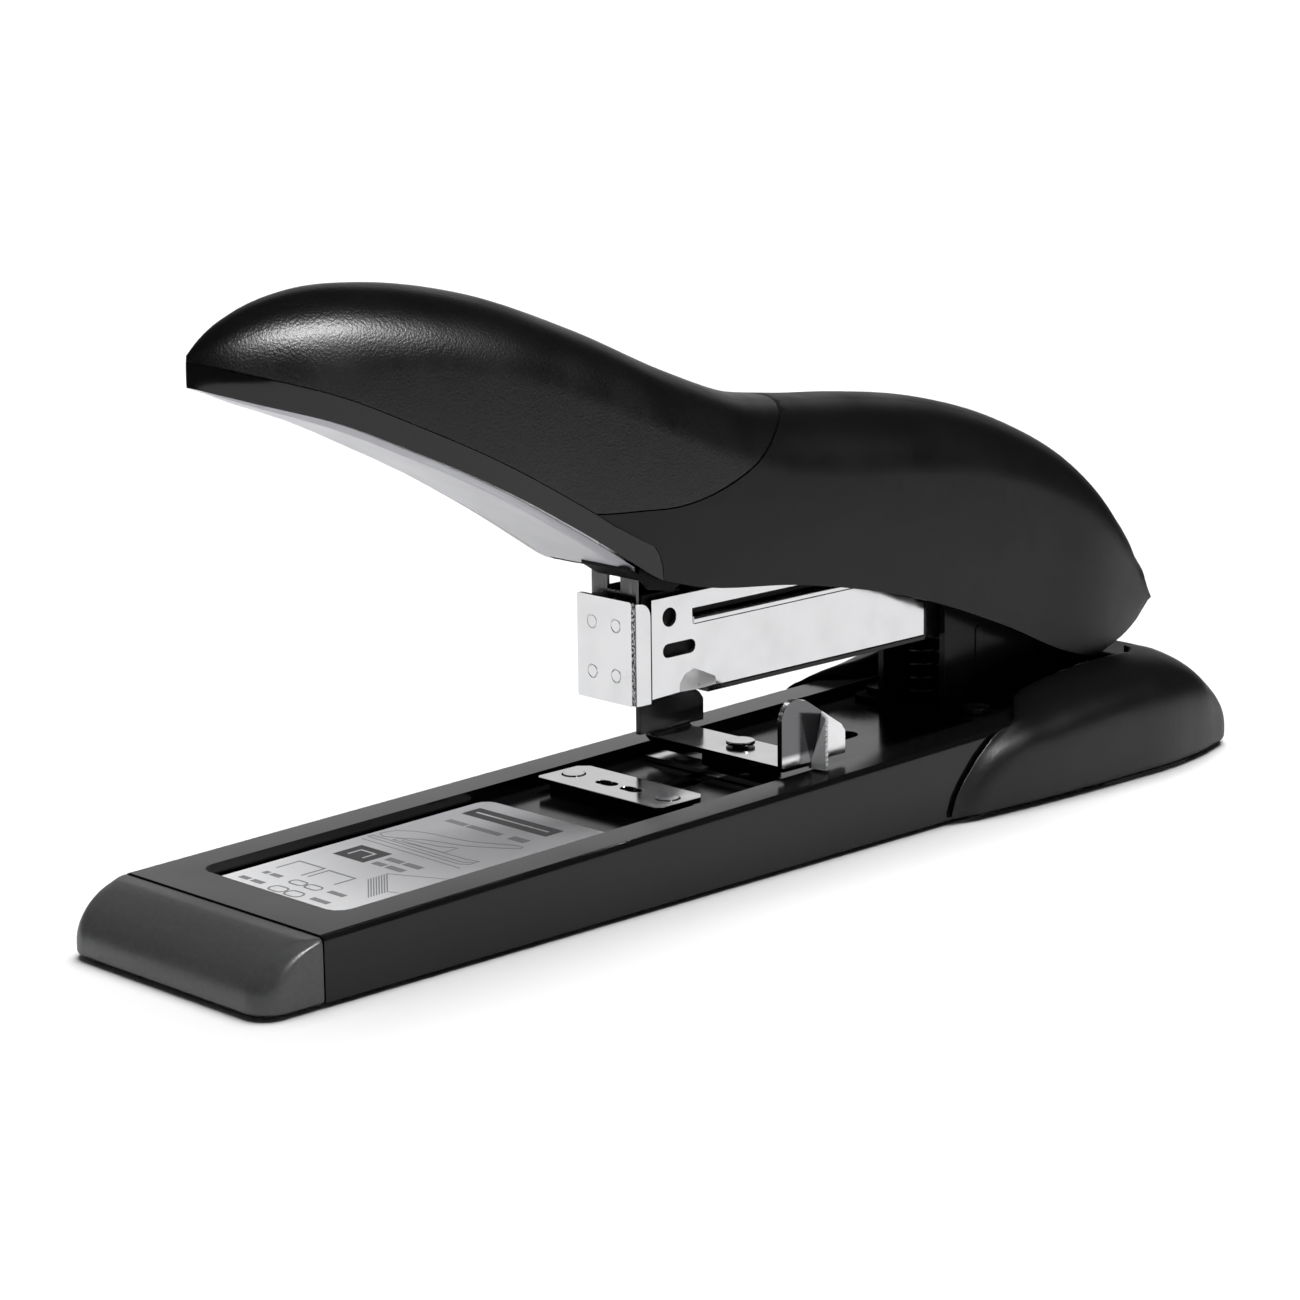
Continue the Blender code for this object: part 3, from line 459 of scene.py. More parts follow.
def sheared_edge():
    """The torn grain that a punch leaves on the edge of thick sheet."""
    look = Look("sheared_edge", (0.5, 0.5, 0.5), 0.4, metallic=1.0)
    tears = look.noise(2300, 3, stretch=(1, 1, 0.7), roughness=0.7)
    look.blend_colour(look.spread(tears, 0.47, 0.53, 1, 0), (0.02, 0.02, 0.02))
    look.bump(tears, 0.0003)
    return look.material


MATERIALS = {"black_paint": black_paint(), "cap_plastic": cap_plastic(),
             "cover_plastic": cover_plastic(), "shell_plastic": shell_plastic(),
             "grip_rubber": grip_rubber(), "gloss_trim": gloss_trim(),
             "light_panel": light_panel(), "label": label(), "chrome": chrome(),
             "blade_steel": blade_steel(), "spring_steel": spring_steel(),
             "black_plastic": black_plastic(), "pad_rubber": pad_rubber()}
STOP_METAL = stop_metal()
LUG_METAL = lug_metal()
OWN_LOOKS = {"stop_arm": STOP_METAL, "stop_rivet": STOP_METAL, "anvil_plate": anvil_metal(),
             "pivot_bracket": black_paint("bracket_paint", 0.1)}
SHEARED_EDGE = sheared_edge()
DARK_INK = ink("dark_ink", (0.06, 0.06, 0.063))
GREY_INK = ink("grey_ink", (0.26, 0.26, 0.27))
LIGHT_INK = ink("light_ink", (0.62, 0.62, 0.63))


# ---------------------------------------------------------------- frame nodes

def new_group(name):
    """A node group from geometry to geometry, with its input and output nodes."""
    group = bpy.data.node_groups.new(name, "GeometryNodeTree")
    group.interface.new_socket("Geometry", in_out="INPUT", socket_type="NodeSocketGeometry")
    group.interface.new_socket("Geometry", in_out="OUTPUT", socket_type="NodeSocketGeometry")
    return group, group.nodes.new("NodeGroupInput"), group.nodes.new("NodeGroupOutput")


def joining_group():
    """Node group that joins the frame's separate triangles into one surface."""
    group, start, end = new_group("join_triangles")
    normals = group.nodes.new("GeometryNodeRemoveAttribute")
    normals.inputs["Name"].default_value = "custom_normal"
    merge = group.nodes.new("GeometryNodeMergeByDistance")
    merge.inputs["Distance"].default_value = 2e-6
    group.links.new(start.outputs[0], normals.inputs["Geometry"])
    group.links.new(normals.outputs["Geometry"], merge.inputs["Geometry"])
    group.links.new(merge.outputs["Geometry"], end.inputs[0])
    return group


def shading_group(degrees):
    """Node group that shades faces smooth and keeps edges sharper than the angle."""
    group, start, end = new_group("smooth_below_angle")
    faces = group.nodes.new("GeometryNodeSetShadeSmooth")
    edges = group.nodes.new("GeometryNodeSetShadeSmooth")
    edges.domain = "EDGE"
    edges.inputs["Shade Smooth"].default_value = False
    angle = group.nodes.new("GeometryNodeInputMeshEdgeAngle")
    sharp = group.nodes.new("FunctionNodeCompare")
    sharp.data_type = "FLOAT"
    sharp.operation = "GREATER_THAN"
    sharp.inputs["B"].default_value = math.radians(degrees)
    group.links.new(angle.outputs["Unsigned Angle"], sharp.inputs["A"])
    group.links.new(sharp.outputs["Result"], edges.inputs["Selection"])
    group.links.new(start.outputs[0], faces.inputs["Geometry"])
    group.links.new(faces.outputs["Geometry"], edges.inputs["Geometry"])
    group.links.new(edges.outputs["Geometry"], end.inputs[0])
    return group


JOINING = joining_group()
SHADING = shading_group(38)


def add_bevel(obj, width, segments, degrees):
    bevel = obj.modifiers.new("bevel", "BEVEL")
    bevel.limit_method = "ANGLE"
    bevel.angle_limit = math.radians(degrees)
    bevel.width = width * MM
    bevel.segments = segments


def even_normals(obj):
    """Keeps large flat faces flat where small rounded faces meet them."""
    weighted = obj.modifiers.new("normals", "WEIGHTED_NORMAL")
    weighted.keep_sharp = True


def refine(name, material, width, segments):
    """Rounds a frame node's edges a little, shades it smooth and gives it its material."""
    node = NODES[name]
    node.modifiers.new("join", "NODES").node_group = JOINING
    flatten = node.modifiers.new("flatten", "DECIMATE")
    flatten.decimate_type = "DISSOLVE"
    flatten.angle_limit = math.radians(0.6)
    add_bevel(node, width, segments, 30)
    node.modifiers.new("shade", "NODES").node_group = SHADING
    even_normals(node)
    for slot in node.material_slots:
        slot.material = material


def slot_of(name):
    return NODES[name].data.materials[0].name.split(".")[0]


def add_piece(solid, name, body, material, replaced=(), smooth_angle=35):
    """Names a new piece, finishes its surface and hangs it on its body."""
    solid.name = name
    solid.data.name = name
    solid.data.materials.clear()
    solid.data.materials.append(material)
    solid.data.shade_smooth()
    solid.data.set_sharp_from_angle(angle=math.radians(smooth_angle))
    even_normals(solid)
    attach(solid, body)
    if replaced:
        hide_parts(*replaced)
    return solid


# ---------------------------------------------------------------- handle

HANDLE_TIP = -3.2
HANDLE_END = 253.6
HANDLE_CORNER_Y = 97.4
# Heights of the crest and the lower edge as (y, z), and half widths as (y, x).
HANDLE_CREST = [(-3.2, 114.8), (2, 118.4), (10, 121.9), (22, 124.3), (38, 124), (60, 120.1),
                (85, 111.3), (110, 100.4), (130, 93.3), (150, 90.1), (170, 88.1), (190, 85),
                (210, 78.8), (228, 69.4), (240, 59.3), (249.2, 48.5), (252.5, 41), (253.6, 34.5)]
HANDLE_EDGE_FRONT = [(-3.2, 109), (8.6, 105.1), (22.8, 100.5), (39.8, 93), (57.9, 84.3),
                     (77.8, 73.2), (97.4, 61.1)]
HANDLE_EDGE_REAR = [(97.4, 61.1), (107.5, 58.2), (136.3, 54.2), (157.4, 49.8), (174.3, 45.1),
                    (199, 35.8), (222, 26), (230, 24), (236, 25.2), (244, 27.2), (250, 29.8),
                    (253.6, 32.6)]
HANDLE_WIDTHS = [(72, 16.6), (97, 18), (130, 19.3), (170, 20.3), (210, 20.8), (235, 20.4),
                 (253.6, 16.5)]
# The nose narrows to the tip from its end, and its first stretch has closer stations.
NOSE_END = 72.0
NOSE_POWER = 1.6
NOSE_LENGTH = 16.0
# The wall grows by these factors where it is cut at a slope.
HANDLE_WALL = 2.3
NOSE_WALL_FACTOR = 1.3
CREST_WALL_FACTOR = 1.25
# A section is narrower at its lower edge, and its crown is a superellipse that takes up most of
# the height, up to a limit.
EDGE_FACTOR = 0.94
CROWN_POWER = 2.3
CROWN_RISE = 15.5
CROWN_SHARE = 0.72
TRIM_HEIGHT = 5.0
TRIM_SEAM = 0.2
# A distance past both sides of the stapler, for tools that cut right through it.
FAR = 40.0


def handle_half(y, wall):
    """Widest half width of a handle section, drawn in by the wall."""
    if y >= NOSE_END:
        return smooth(HANDLE_WIDTHS, y) - wall
    tip = HANDLE_TIP + wall * NOSE_WALL_FACTOR
    part = min(max((NOSE_END - y) / (NOSE_END - tip), 0), 1)
    rounding = (1 - part**NOSE_POWER) ** (1 / NOSE_POWER)
    return max((HANDLE_WIDTHS[0][1] - wall) * rounding, 0.05)


def handle_edge(y):
    return smooth(HANDLE_EDGE_FRONT if y < HANDLE_CORNER_Y else HANDLE_EDGE_REAR, y)


def handle_ring(y, wall, drop, steps):
    """A section of the handle: straight lower sides and a rounded crown."""
    half = handle_half(y, wall)
    low = handle_edge(y)
    top = max(smooth(HANDLE_CREST, y) - wall * CREST_WALL_FACTOR, low + 0.6)
    rise = min(CROWN_RISE, CROWN_SHARE * (top - low))
    shoulder = top - rise
    right = [(half * EDGE_FACTOR, y, low - drop)]
    for part in (0.0, 0.3, 0.65):
        half_here = half * (EDGE_FACTOR + (1 - EDGE_FACTOR) * math.sin(part * math.pi / 2))
        right.append((half_here, y, low + (shoulder - low) * part + 0.01))
    for i in range(steps + 1):
        angle = math.pi / 2 * i / steps
        x = half * math.cos(angle) ** (2 / CROWN_POWER)
        right.append((x, y, shoulder + rise * math.sin(angle) ** (2 / CROWN_POWER)))
    left = [(-x, y, z) for x, y, z in right[-2::-1]]
    return right + left


def handle_stations(first, last, spacing, nose_count):
    """Stations along the handle, closer together towards the tip of its nose."""
    nose = [first + NOSE_LENGTH * (i / nose_count) ** 2 for i in range(nose_count)]
    start = first + NOSE_LENGTH
    count = round((last - start) / spacing)
    return nose + [start + (last - start) * i / count for i in range(count + 1)]


def handle_body():
    """The whole handle as one shell, open below."""
    outside = handle_stations(HANDLE_TIP, HANDLE_END, 2.6, 14)
    body = loft([handle_ring(y, 0, 0, 22) for y in outside])
    cavity_tip = HANDLE_TIP + HANDLE_WALL * NOSE_WALL_FACTOR + 0.2
    inside = handle_stations(cavity_tip, HANDLE_END - 4.5, 8, 8)
    cavity = loft([handle_ring(y, HANDLE_WALL, 30, 10) for y in inside])
    return cut(body, cavity)


def trim_zone(raise_top):
    """Side-view outline of everything below the trim strip's upper edge."""
    stations = [-12] + [-4 + 5 * i for i in range(19)]
    top = []
    for y in stations:
        opening = min(max((y + 4) / NOSE_LENGTH, 0.05), 1)
        top.append((y, handle_edge(y) + TRIM_HEIGHT + raise_top * opening))
    end = [(94, 68.9), (95.8, 68), (97.1, 66.2), (98, 63.8), (98.5, 60), (98.6, 40)]
    return top + [(y + raise_top, z) for y, z in end] + [(-12, 40)]


def grip_zone(shrink):
    """Side-view outline of the soft grip: forward of the seam that curls up over the crest."""
    knots = [(81, 76.2), (86, 75.7), (92, 75.4), (103, 75), (113, 76.8), (123, 81), (130, 86),
             (138, 89.8), (147, 92)]
    seam = [(81, 60)] + [(81 + 3 * i, smooth(knots, 81 + 3 * i)) for i in range(23)]
    seam = [(y - shrink, z + shrink) for y, z in seam]
    return [(-15, 60)] + seam + [(147 - shrink, 140), (-15, 140)]


def make_handle():
    """The trim strip, the grip and the shell, cut from one body along their seams."""
    body = handle_body()
    parts = [new_object("part", body.data.copy()) for _ in range(3)]
    bpy.data.objects.remove(body)
    trim, grip, shell = parts
    keep(trim, prism_x(trim_zone(0), -FAR, FAR))
    cut(grip, prism_x(trim_zone(TRIM_SEAM), -FAR, FAR))
    keep(grip, prism_x(grip_zone(GAP), -FAR, FAR))
    cut(shell, prism_x(trim_zone(TRIM_SEAM), -FAR, FAR), prism_x(grip_zone(0), -FAR, FAR))
    for solid, name, slot in ((trim, "trim", "gloss_trim"), (grip, "grip", "grip_rubber"),
                              (shell, "shell", "shell_plastic")):
        add_piece(solid, "smooth_" + name, "handle", MATERIALS[slot], ["handle_" + name], 42)


def make_panel_rib():
    """The dark rib and web inside the handle, beside the driver behind the light panel."""
    rib_thickness = 0.9
    web_inside = 12.9
    web_outside = 14.2
    rib_top = [(y, handle_edge(y) - 0.8) for y in (91.3, 95.5)]
    outline = rib_top + [(y, z - rib_thickness) for y, z in rib_top[::-1]]
    rib = prism_x(outline, 0.9, web_outside)
    web = [(94.4, 61.9), (97.4, 58.6), (103.5, 57.5), (108, 59.5), (112, 62), (112, 66), (94.4, 66)]
    combine(rib, prism_x(web, web_inside, web_outside), "UNION")
    add_bevel(rib, 0.2, 2, 50)
    bake(rib)
    add_piece(rib, "panel_rib", "handle", MATERIALS["black_plastic"])


# ---------------------------------------------------------------- rear cover and front cap

RAIL_HALF = 29.9
RAIL_END = 247.0
RAIL_CORNER = 1.4
FRONT_END = -14.5
REAR_END = 270.5
CAP_CORNER = 5.5
# The rear cover along its length: half widths, heights, the powers of its superelliptic top and
# the share of its height that stands upright.
COVER_WIDTHS = [(164, 31.4), (176, 32.6), (197, 34.4), (220, 35.3), (245, 34.8), (258, 32.1),
                (266, 28.6), (270.5, 22.5)]
COVER_HEIGHTS = [(164, 20.5), (186, 22.2), (198, 22.7), (206, 24), (215, 25), (228, 25.6),
                 (240, 24.9), (248, 23.7), (254, 21.5), (259, 18.5), (264.5, 13.8), (268.5, 9),
                 (270.5, 4.6)]
COVER_POWERS = [(164, 3.3), (215, 3.1), (245, 3.4), (258, 3.3), (270.5, 2.5)]
COVER_UPRIGHT = [(164, 0.4), (235, 0.36), (262, 0.16), (270.5, 0.12)]
COVER_OPENING_HALF = 22.2
COVER_OPENING_END = 242.0
# The front edge of the cover's wings is rolled in over a reach, by a depth.
WING_ROLL_REACH = 7.5
WING_ROLL_DEPTH = 2.1
WING_THICKNESS = 0.9
WING_EDGE = [(168.8, 1), (170.4, 5.1), (172.9, 8.2), (176.6, 12), (180.9, 15.3), (185.5, 18.4),
             (188.7, 20.9), (189.8, 22.6), (189.5, 24), (187.5, 27)]


def rail_top(y):
    return 12.54 + 0.0235 * y


def cover_ring(y):
    """Outer section of the rear cover: upright sides and a rounded top."""
    half = smooth(COVER_WIDTHS, y)
    top = smooth(COVER_HEIGHTS, y)
    shoulder = top * smooth(COVER_UPRIGHT, y)
    power = smooth(COVER_POWERS, y)
    right = []
    for i in range(23):
        angle = math.pi / 2 * i / 22
        x = half * math.cos(angle) ** (2 / power)
        right.append((x, y, shoulder + (top - shoulder) * math.sin(angle) ** (2 / power)))
    left = [(-x, y, z) for x, y, z in right[-2::-1]]
    return [(half - 0.6, y, 0), (half, y, 0.8)] + right + left + [(-half, y, 0.8),
                                                                (-half + 0.6, y, 0)]


def distance_to_line(point, start, end):
    """Distance of a point from the straight line between two others, all (y, z)."""
    run = (end[0] - start[0], end[1] - start[1])
    reach = (point[0] - start[0], point[1] - start[1])
    along = (reach[0] * run[0] + reach[1] * run[1]) / (run[0] ** 2 + run[1] ** 2)
    along = min(max(along, 0), 1)
    return math.hypot(reach[0] - along * run[0], reach[1] - along * run[1])


def near_wing_edge(point):
    """How close a point of the cover is to the front edge of its wing, from 1 down to 0."""
    seen = (point.y / MM + MIDDLE, point.z / MM - PAD_HEIGHT)
    nearest = min(distance_to_line(seen, a, b) for a, b in zip(WING_EDGE, WING_EDGE[1:]))
    return 1 - min(nearest, WING_ROLL_REACH) / WING_ROLL_REACH


def roll_wing_edge(cover):
    """Curves the outside of each wing in towards the rail over its last few millimetres."""
    innermost = RAIL_HALF + WING_THICKNESS
    for vertex in cover.data.vertices:
        outside = abs(vertex.co.x) / MM
        if outside > innermost:
            rolled = outside - WING_ROLL_DEPTH * near_wing_edge(vertex.co) ** 2
            vertex.co.x = math.copysign(max(rolled, innermost) * MM, vertex.co.x)


def cover_body():
    stations = [164 + 2.5 * i for i in range(36)]
    stations += [254, 256, 258, 260, 262, 263.6, 265.1, 266.4, 267.5, 268.5, 269.3, 269.9, 270.3,
                 270.5]
    return loft([cover_ring(y) for y in stations])


def cover_cutters():
    """What is taken out of the cover: the rail's seat, its underside, the mouth and a recess."""
    side = RAIL_HALF + GAP
    rail_end = RAIL_END + GAP
    saddle = prism_z([(-side, 150), (side, 150), (side, rail_end), (-side, rail_end)],
                     -5, lambda y: rail_top(y) + GAP)
    underside = prism_x([(RAIL_END + 2.5, -5), (263, -5), (263, 10), (256, 16.5),
                         (RAIL_END + 2.5, 20)], -22, 22)
    front = prism_x([(150, -5), (168.8, -5)] + WING_EDGE + [(187.5, 40), (150, 40)], -45, 45)
    half = COVER_OPENING_HALF
    mouth = [(30.5, 150), (30.5, 186.5), (28.8, 191), (25.6, 194.6), (23.4, 197.4), (half, 201)]
    right = mouth + arc((half - 5, COVER_OPENING_END - 5), 5, 0, 90, 8)
    opening = prism_z(right + [(-x, y) for x, y in right[::-1]], 5, 60)
    handle_recess = block((-18, 18), (COVER_OPENING_END - 1, REAR_END + 1), (21.4, 40))
    return saddle, underside, front, opening, handle_recess


def soften_cover(cover):
    """Rounds every edge of the cover a little and the front edges of its wings more."""
    remesh = cover.modifiers.new("remesh", "REMESH")
    remesh.mode = "VOXEL"
    remesh.voxel_size = 0.0005
    bake(cover)
    roll_wing_edge(cover)
    edge = cover.vertex_groups.new(name="wing_edge")
    for vertex in cover.data.vertices:
        edge.add([vertex.index], min(1.25 * near_wing_edge(vertex.co), 1), "REPLACE")
    for name, group, count in (("settle", "", 4), ("round", "wing_edge", 40)):
        soften = cover.modifiers.new(name, "SMOOTH")
        soften.vertex_group = group
        soften.factor = 0.5
        soften.iterations = count
    fewer = cover.modifiers.new("fewer", "DECIMATE")
    fewer.ratio = 0.5
    bake(cover)
    cover.vertex_groups.clear()


def make_rear_cover():
    cover = cut(cover_body(), *cover_cutters())
    soften_cover(cover)
    add_piece(cover, "smooth_rear_cover", "base", MATERIALS["cover_plastic"],
              ["rear_cover"], 60)


def cap_ring(z, front, half):
    """One level of the front cap: straight at the rear, round at the two front corners."""
    corner = min(CAP_CORNER, -front - GAP - 0.4)
    left = arc((-half + corner, front + corner), corner, 180, 270, 9)
    right = arc((half - corner, front + corner), corner, 270, 360, 9)
    outline = [(-half, -GAP)] + left + right + [(half, -GAP)]
    return [(x, y, z) for x, y in outline]


def make_front_cap():
    """The cap's rounded nose, with the tongue that slides into the rail."""
    nose_depth = 13.5
    nose_height = 10.4
    nose_base = 2.0
    rings = [cap_ring(0, FRONT_END + 0.5, RAIL_HALF - 0.4),
             cap_ring(0.3, FRONT_END + 0.12, RAIL_HALF - 0.1),
             cap_ring(0.7, FRONT_END, RAIL_HALF)]
    for i in range(17):
        angle = math.radians(81 * i / 16)
        front = FRONT_END + nose_depth * (1 - math.cos(angle))
        z = nose_base + nose_height * math.sin(angle)
        above = max(z - (nose_base + nose_height - RAIL_CORNER), 0)
        inset = RAIL_CORNER - math.sqrt(max(RAIL_CORNER**2 - above**2, 0))
        rings.append(cap_ring(z, front, RAIL_HALF - inset))
    cap = loft(rings)
    tongue = block((-27.2, 27.2), (-2, 32), (0.4, 2.2))
    combine(cap, tongue, "UNION")
    add_bevel(cap, 0.25, 2, 50)
    bake(cap)
    add_piece(cap, "smooth_front_cap", "base", MATERIALS["cap_plastic"],
              ["front_cap"], 50)


# ---------------------------------------------------------------- magazine head details

MAGAZINE_HALF = 8.0
PLATE_HALF = 7.9
SIDES = ((-1, "left"), (1, "right"))


def ring_tool(centre, outer, inner, low, high):
    tool = prism_y(circle(centre, outer, 28), low, high)
    return cut(tool, prism_y(circle(centre, inner, 28), low - 1, high + 1))


def make_front_plate():
    """The head's front plate, with four shallow weld rings and a torn sheared edge."""
    front = 98.1
    outline = rounded_box((-PLATE_HALF, 33.6), (PLATE_HALF, 55.0), 0.5)
    plate = prism_y(outline, front, front + 1)
    for x in (-3.5, 3.4):
        for z in (39.3, 49.6):
            cut(plate, ring_tool((x, z), 1.45, 1.2, front - 1, front + 0.1))
    add_bevel(plate, 0.12, 2, 50)
    bake(plate)
    add_piece(plate, "welded_front_plate", "magazine", MATERIALS["chrome"],
              ["front_plate"], 30)
    plate.data.materials.append(SHEARED_EDGE)
    for face in plate.data.polygons:
        if abs(face.normal.x) > 0.7 and abs(face.center.x) > (PLATE_HALF - 0.3) * MM:
            face.material_index = 1


def make_window_lips():
    """The rolled lips along the lower edges of the magazine's windows."""
    for side, label_name in SIDES:
        profile = [(0, 49.45), (0.22, 49.4), (0.36, 49.1), (0.38, 48.6), (0.3, 48.1),
                   (0.12, 47.85), (0, 47.8)]
        lip = prism_y([(side * (MAGAZINE_HALF + x), z) for x, z in profile], 115.4, 182.6)
        add_piece(lip, "window_lip_" + label_name, "magazine", MATERIALS["chrome"],
                  (), 60)


def make_lug():
    """The flared lug at the foot of each side wall, just behind the head."""
    for side, label_name in SIDES:
        rings = []
        for y, top, flare in ((111.5, 36.2, 0.1), (113, 37.9, 0.5), (115.5, 38.7, 0.85),
                              (118.2, 37.6, 0.8), (121.5, 36.1, 0.35)):
            profile = [(0, 34.5), (flare, 34.5), (flare * 0.9, 35.3), (0.02, top), (0, top)]
            rings.append([(side * (MAGAZINE_HALF + x), y, z) for x, z in profile])
        add_piece(loft(rings), "magazine_lug_" + label_name, "magazine", LUG_METAL,
                  (), 25)


# Each coil spring's body, the joint that compresses it, its axis, a point at its fixed end and
# the share of its length that is left when it is compressed most.
SPRINGS = {
    "magazine_lift_spring": ("base", "magazine_pivot", (0, 0, 1), place(0, 196, 16.2), 0.78),
    "handle_return_spring": ("magazine", "handle_pivot", (0, 0, 1), place(0, 148, 54.9), 0.52),
    "pusher_spring": ("magazine", "pusher_slide", (0, 1, 0), place(0, 177.7, 47), 0.14)}


def make_springs():
    """Smoother coils: each spring's frame mesh joined up and divided once."""
    for name, (body, joint, axis, fixed_end, closed) in SPRINGS.items():
        mesh = NODES[name].data.copy()
        shape = bmesh.new()
        shape.from_mesh(mesh)
        bmesh.ops.remove_doubles(shape, verts=shape.verts, dist=0.001 * MM)
        shape.to_mesh(mesh)
        shape.free()
        coil = new_object("coil", mesh)
        divide = coil.modifiers.new("divide", "SUBSURF")
        divide.levels = 1
        bake(coil)
        add_piece(coil, "smooth_" + name, body, MATERIALS["spring_steel"],
                  [name], 60)
        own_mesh(coil)


# ---------------------------------------------------------------- label

PAN_DEPTH = 3.0
LABEL_THICKNESS = 0.4


def label_top(y):
    return rail_top(y) - PAN_DEPTH + GAP + LABEL_THICKNESS


class Print:
    """Flat printed shapes on the label, gathered into one thin piece."""

    def __init__(self):
        self.shapes = []

    def area(self, *points):
        self.shapes.append(points)

    def bar(self, x, y, width, height):
        self.area((x, y), (x + width, y), (x + width, y + height), (x, y + height))

    def bars(self, *bars):
        for bar in bars:
            self.bar(*bar)

    def line(self, points, width=0.38):
        """A line through points, with each stretch a little longer so that corners close."""
        for (x0, y0), (x1, y1) in zip(points, points[1:]):
            length = math.hypot(x1 - x0, y1 - y0)
            run = ((x1 - x0) / length * width, (y1 - y0) / length * width)
            x0, y0 = x0 - run[0] / 3, y0 - run[1] / 3
            x1, y1 = x1 + run[0] / 3, y1 + run[1] / 3
            side = (-run[1] / 2, run[0] / 2)
            self.area((x0 - side[0], y0 - side[1]), (x1 - side[0], y1 - side[1]),
                      (x1 + side[0], y1 + side[1]), (x0 + side[0], y0 + side[1]))

    def make(self, name, material, level):
        """Builds the shapes as one mesh that stands a hair above the label."""
        shape = bmesh.new()
        for points in self.shapes:
            top = [shape.verts.new(place(x, y, label_top(y) + level)) for x, y in points]
            low = [shape.verts.new(place(x, y, label_top(y) + 0.005)) for x, y in points]
            shape.faces.new(top)
            shape.faces.new(low[::-1])
            for i in range(len(points)):
                j = (i + 1) % len(points)
                shape.faces.new((top[i], low[i], low[j], top[j]))
        bmesh.ops.recalc_face_normals(shape, faces=shape.faces)
        mesh = bpy.data.meshes.new(name)
        shape.to_mesh(mesh)
        shape.free()
        add_piece(new_object(name, mesh), name, "base", material)


def staple_icon(art, x, y, width, height, stroke=0.45):
    """A staple seen from the front: a crown and two legs."""
    art.line([(x, y), (x, y + height), (x + width, y + height), (x + width, y)], stroke)


def clinch_icon(art, x, y, width, height, stroke=0.4):
    """A closed staple: two folded legs under the crown."""
    half = width / 2 - 0.25
    for start in (x, x + width / 2 + 0.25):
        outline = rounded_box((start, y), (start + half, y + height), height * 0.45, 3)
        art.line(outline + outline[:1], stroke)


def stapler_drawing(art):
    """Line drawing of a plain stapler, seen from the side."""
    crest = [(-18.2, 53.4), (-17.2, 56.6), (-14, 58.8), (-9.5, 60), (-5, 60.4), (0, 61.4),
             (5, 63.6), (8.6, 65.4), (10.6, 65.6), (11, 64.6), (8, 62.4), (4, 60.2), (1, 58.6),
             (-3, 57.6), (-8, 56.2), (-13, 53.6), (-16, 52.4), (-18.2, 53.4)]
    art.line(crest, 0.25)
    art.line([(-12.5, 53.6), (-2.2, 55.2), (1.4, 56.8), (1.6, 53), (-2.4, 52.9), (-12.8, 52.1),
              (-12.5, 53.6)], 0.25)
    art.line([(-18.2, 51.6), (8.8, 51.2), (11.3, 52.4), (11.3, 53.6), (8.6, 52.9), (-11, 53)],
             0.25)
    art.line([(-18.2, 51.6), (-18.2, 50.4), (9.4, 49.9), (11.3, 51.2), (11.3, 52.4)], 0.25)
    art.line([(-18, 48.7), (11.6, 48.3)], 0.22)


def make_label_print():
    """Patches, fine marks and reversed marks, with no letters or words."""
    dark = Print()
    dark.bars((-16.2, 73.2, 25.0, 5.0), (-14.6, 38.4, 9.2, 7.4))
    dark.make("label_patches", DARK_INK, 0.03)

    fine = Print()
    fine.bars((-14.8, 67.4, 5.6, 1.7), (-8.4, 67.4, 9.6, 1.7), (4.0, 67.4, 4.6, 2.1))
    fine.bars((-3.8, 42.4, 4.4, 1.7), (1.4, 42.4, 4.8, 1.7))
    fine.bars((-3.8, 39.0, 3.2, 1.7), (0.2, 39.0, 4.8, 1.7))
    fine.bars((-15.4, 21.4, 1.4, 1.4), (-13.2, 21.4, 3.0, 1.4), (4.0, 21.6, 4.6, 1.4))
    fine.bars((-16.6, 16.6, 2.8, 1.4), (-13.0, 16.6, 3.4, 1.4), (4.7, 16.8, 5.0, 1.4))
    stapler_drawing(fine)
    staple_icon(fine, -15.6, 25.4, 7.6, 5.6)
    staple_icon(fine, -6.4, 25.8, 7.8, 5.0)
    clinch_icon(fine, -6.8, 20.8, 8.6, 2.2)
    clinch_icon(fine, -6.8, 15.6, 9.0, 2.8)
    for i in range(8):
        fine.line([(3.7, 32.1 + 0.66 * i), (12.5, 24.8 + 0.66 * i)], 0.26)
    fine.line([(3.7, 36.8), (18.2, 43.4)], 0.22)
    fine.line([(12.5, 29.4), (18.4, 31.6)], 0.22)
    fine.make("label_lines", GREY_INK, 0.03)

    light = Print()
    light.bar(-14.4, 75.4, 21.4, 0.6)
    staple_icon(light, -12.2, 40.4, 4.4, 3.2, 0.5)
    light.make("label_reversed", LIGHT_INK, 0.045)


# ---------------------------------------------------------------- stage, light, camera

VIEW_AZIMUTH = 45.972
VIEW_ELEVATION = 12.886
VIEW_ROLL = -0.638
NEAR_FLOOR_RADIUS = 0.52
FAR_FLOOR_RADIUS = 9.0
WALL_RADIUS = 8.8
WALL_HEIGHT = 12.0
PANEL_AZIMUTH = 226.0
LIGHT_DISTANCE = 1.2


def towards(azimuth, elevation):
    """Direction from the stapler to a place around it, with the angles in degrees."""
    around = math.radians(azimuth)
    up = math.radians(elevation)
    return Vector((math.sin(around) * math.cos(up), -math.cos(around) * math.cos(up),
                   math.sin(up)))


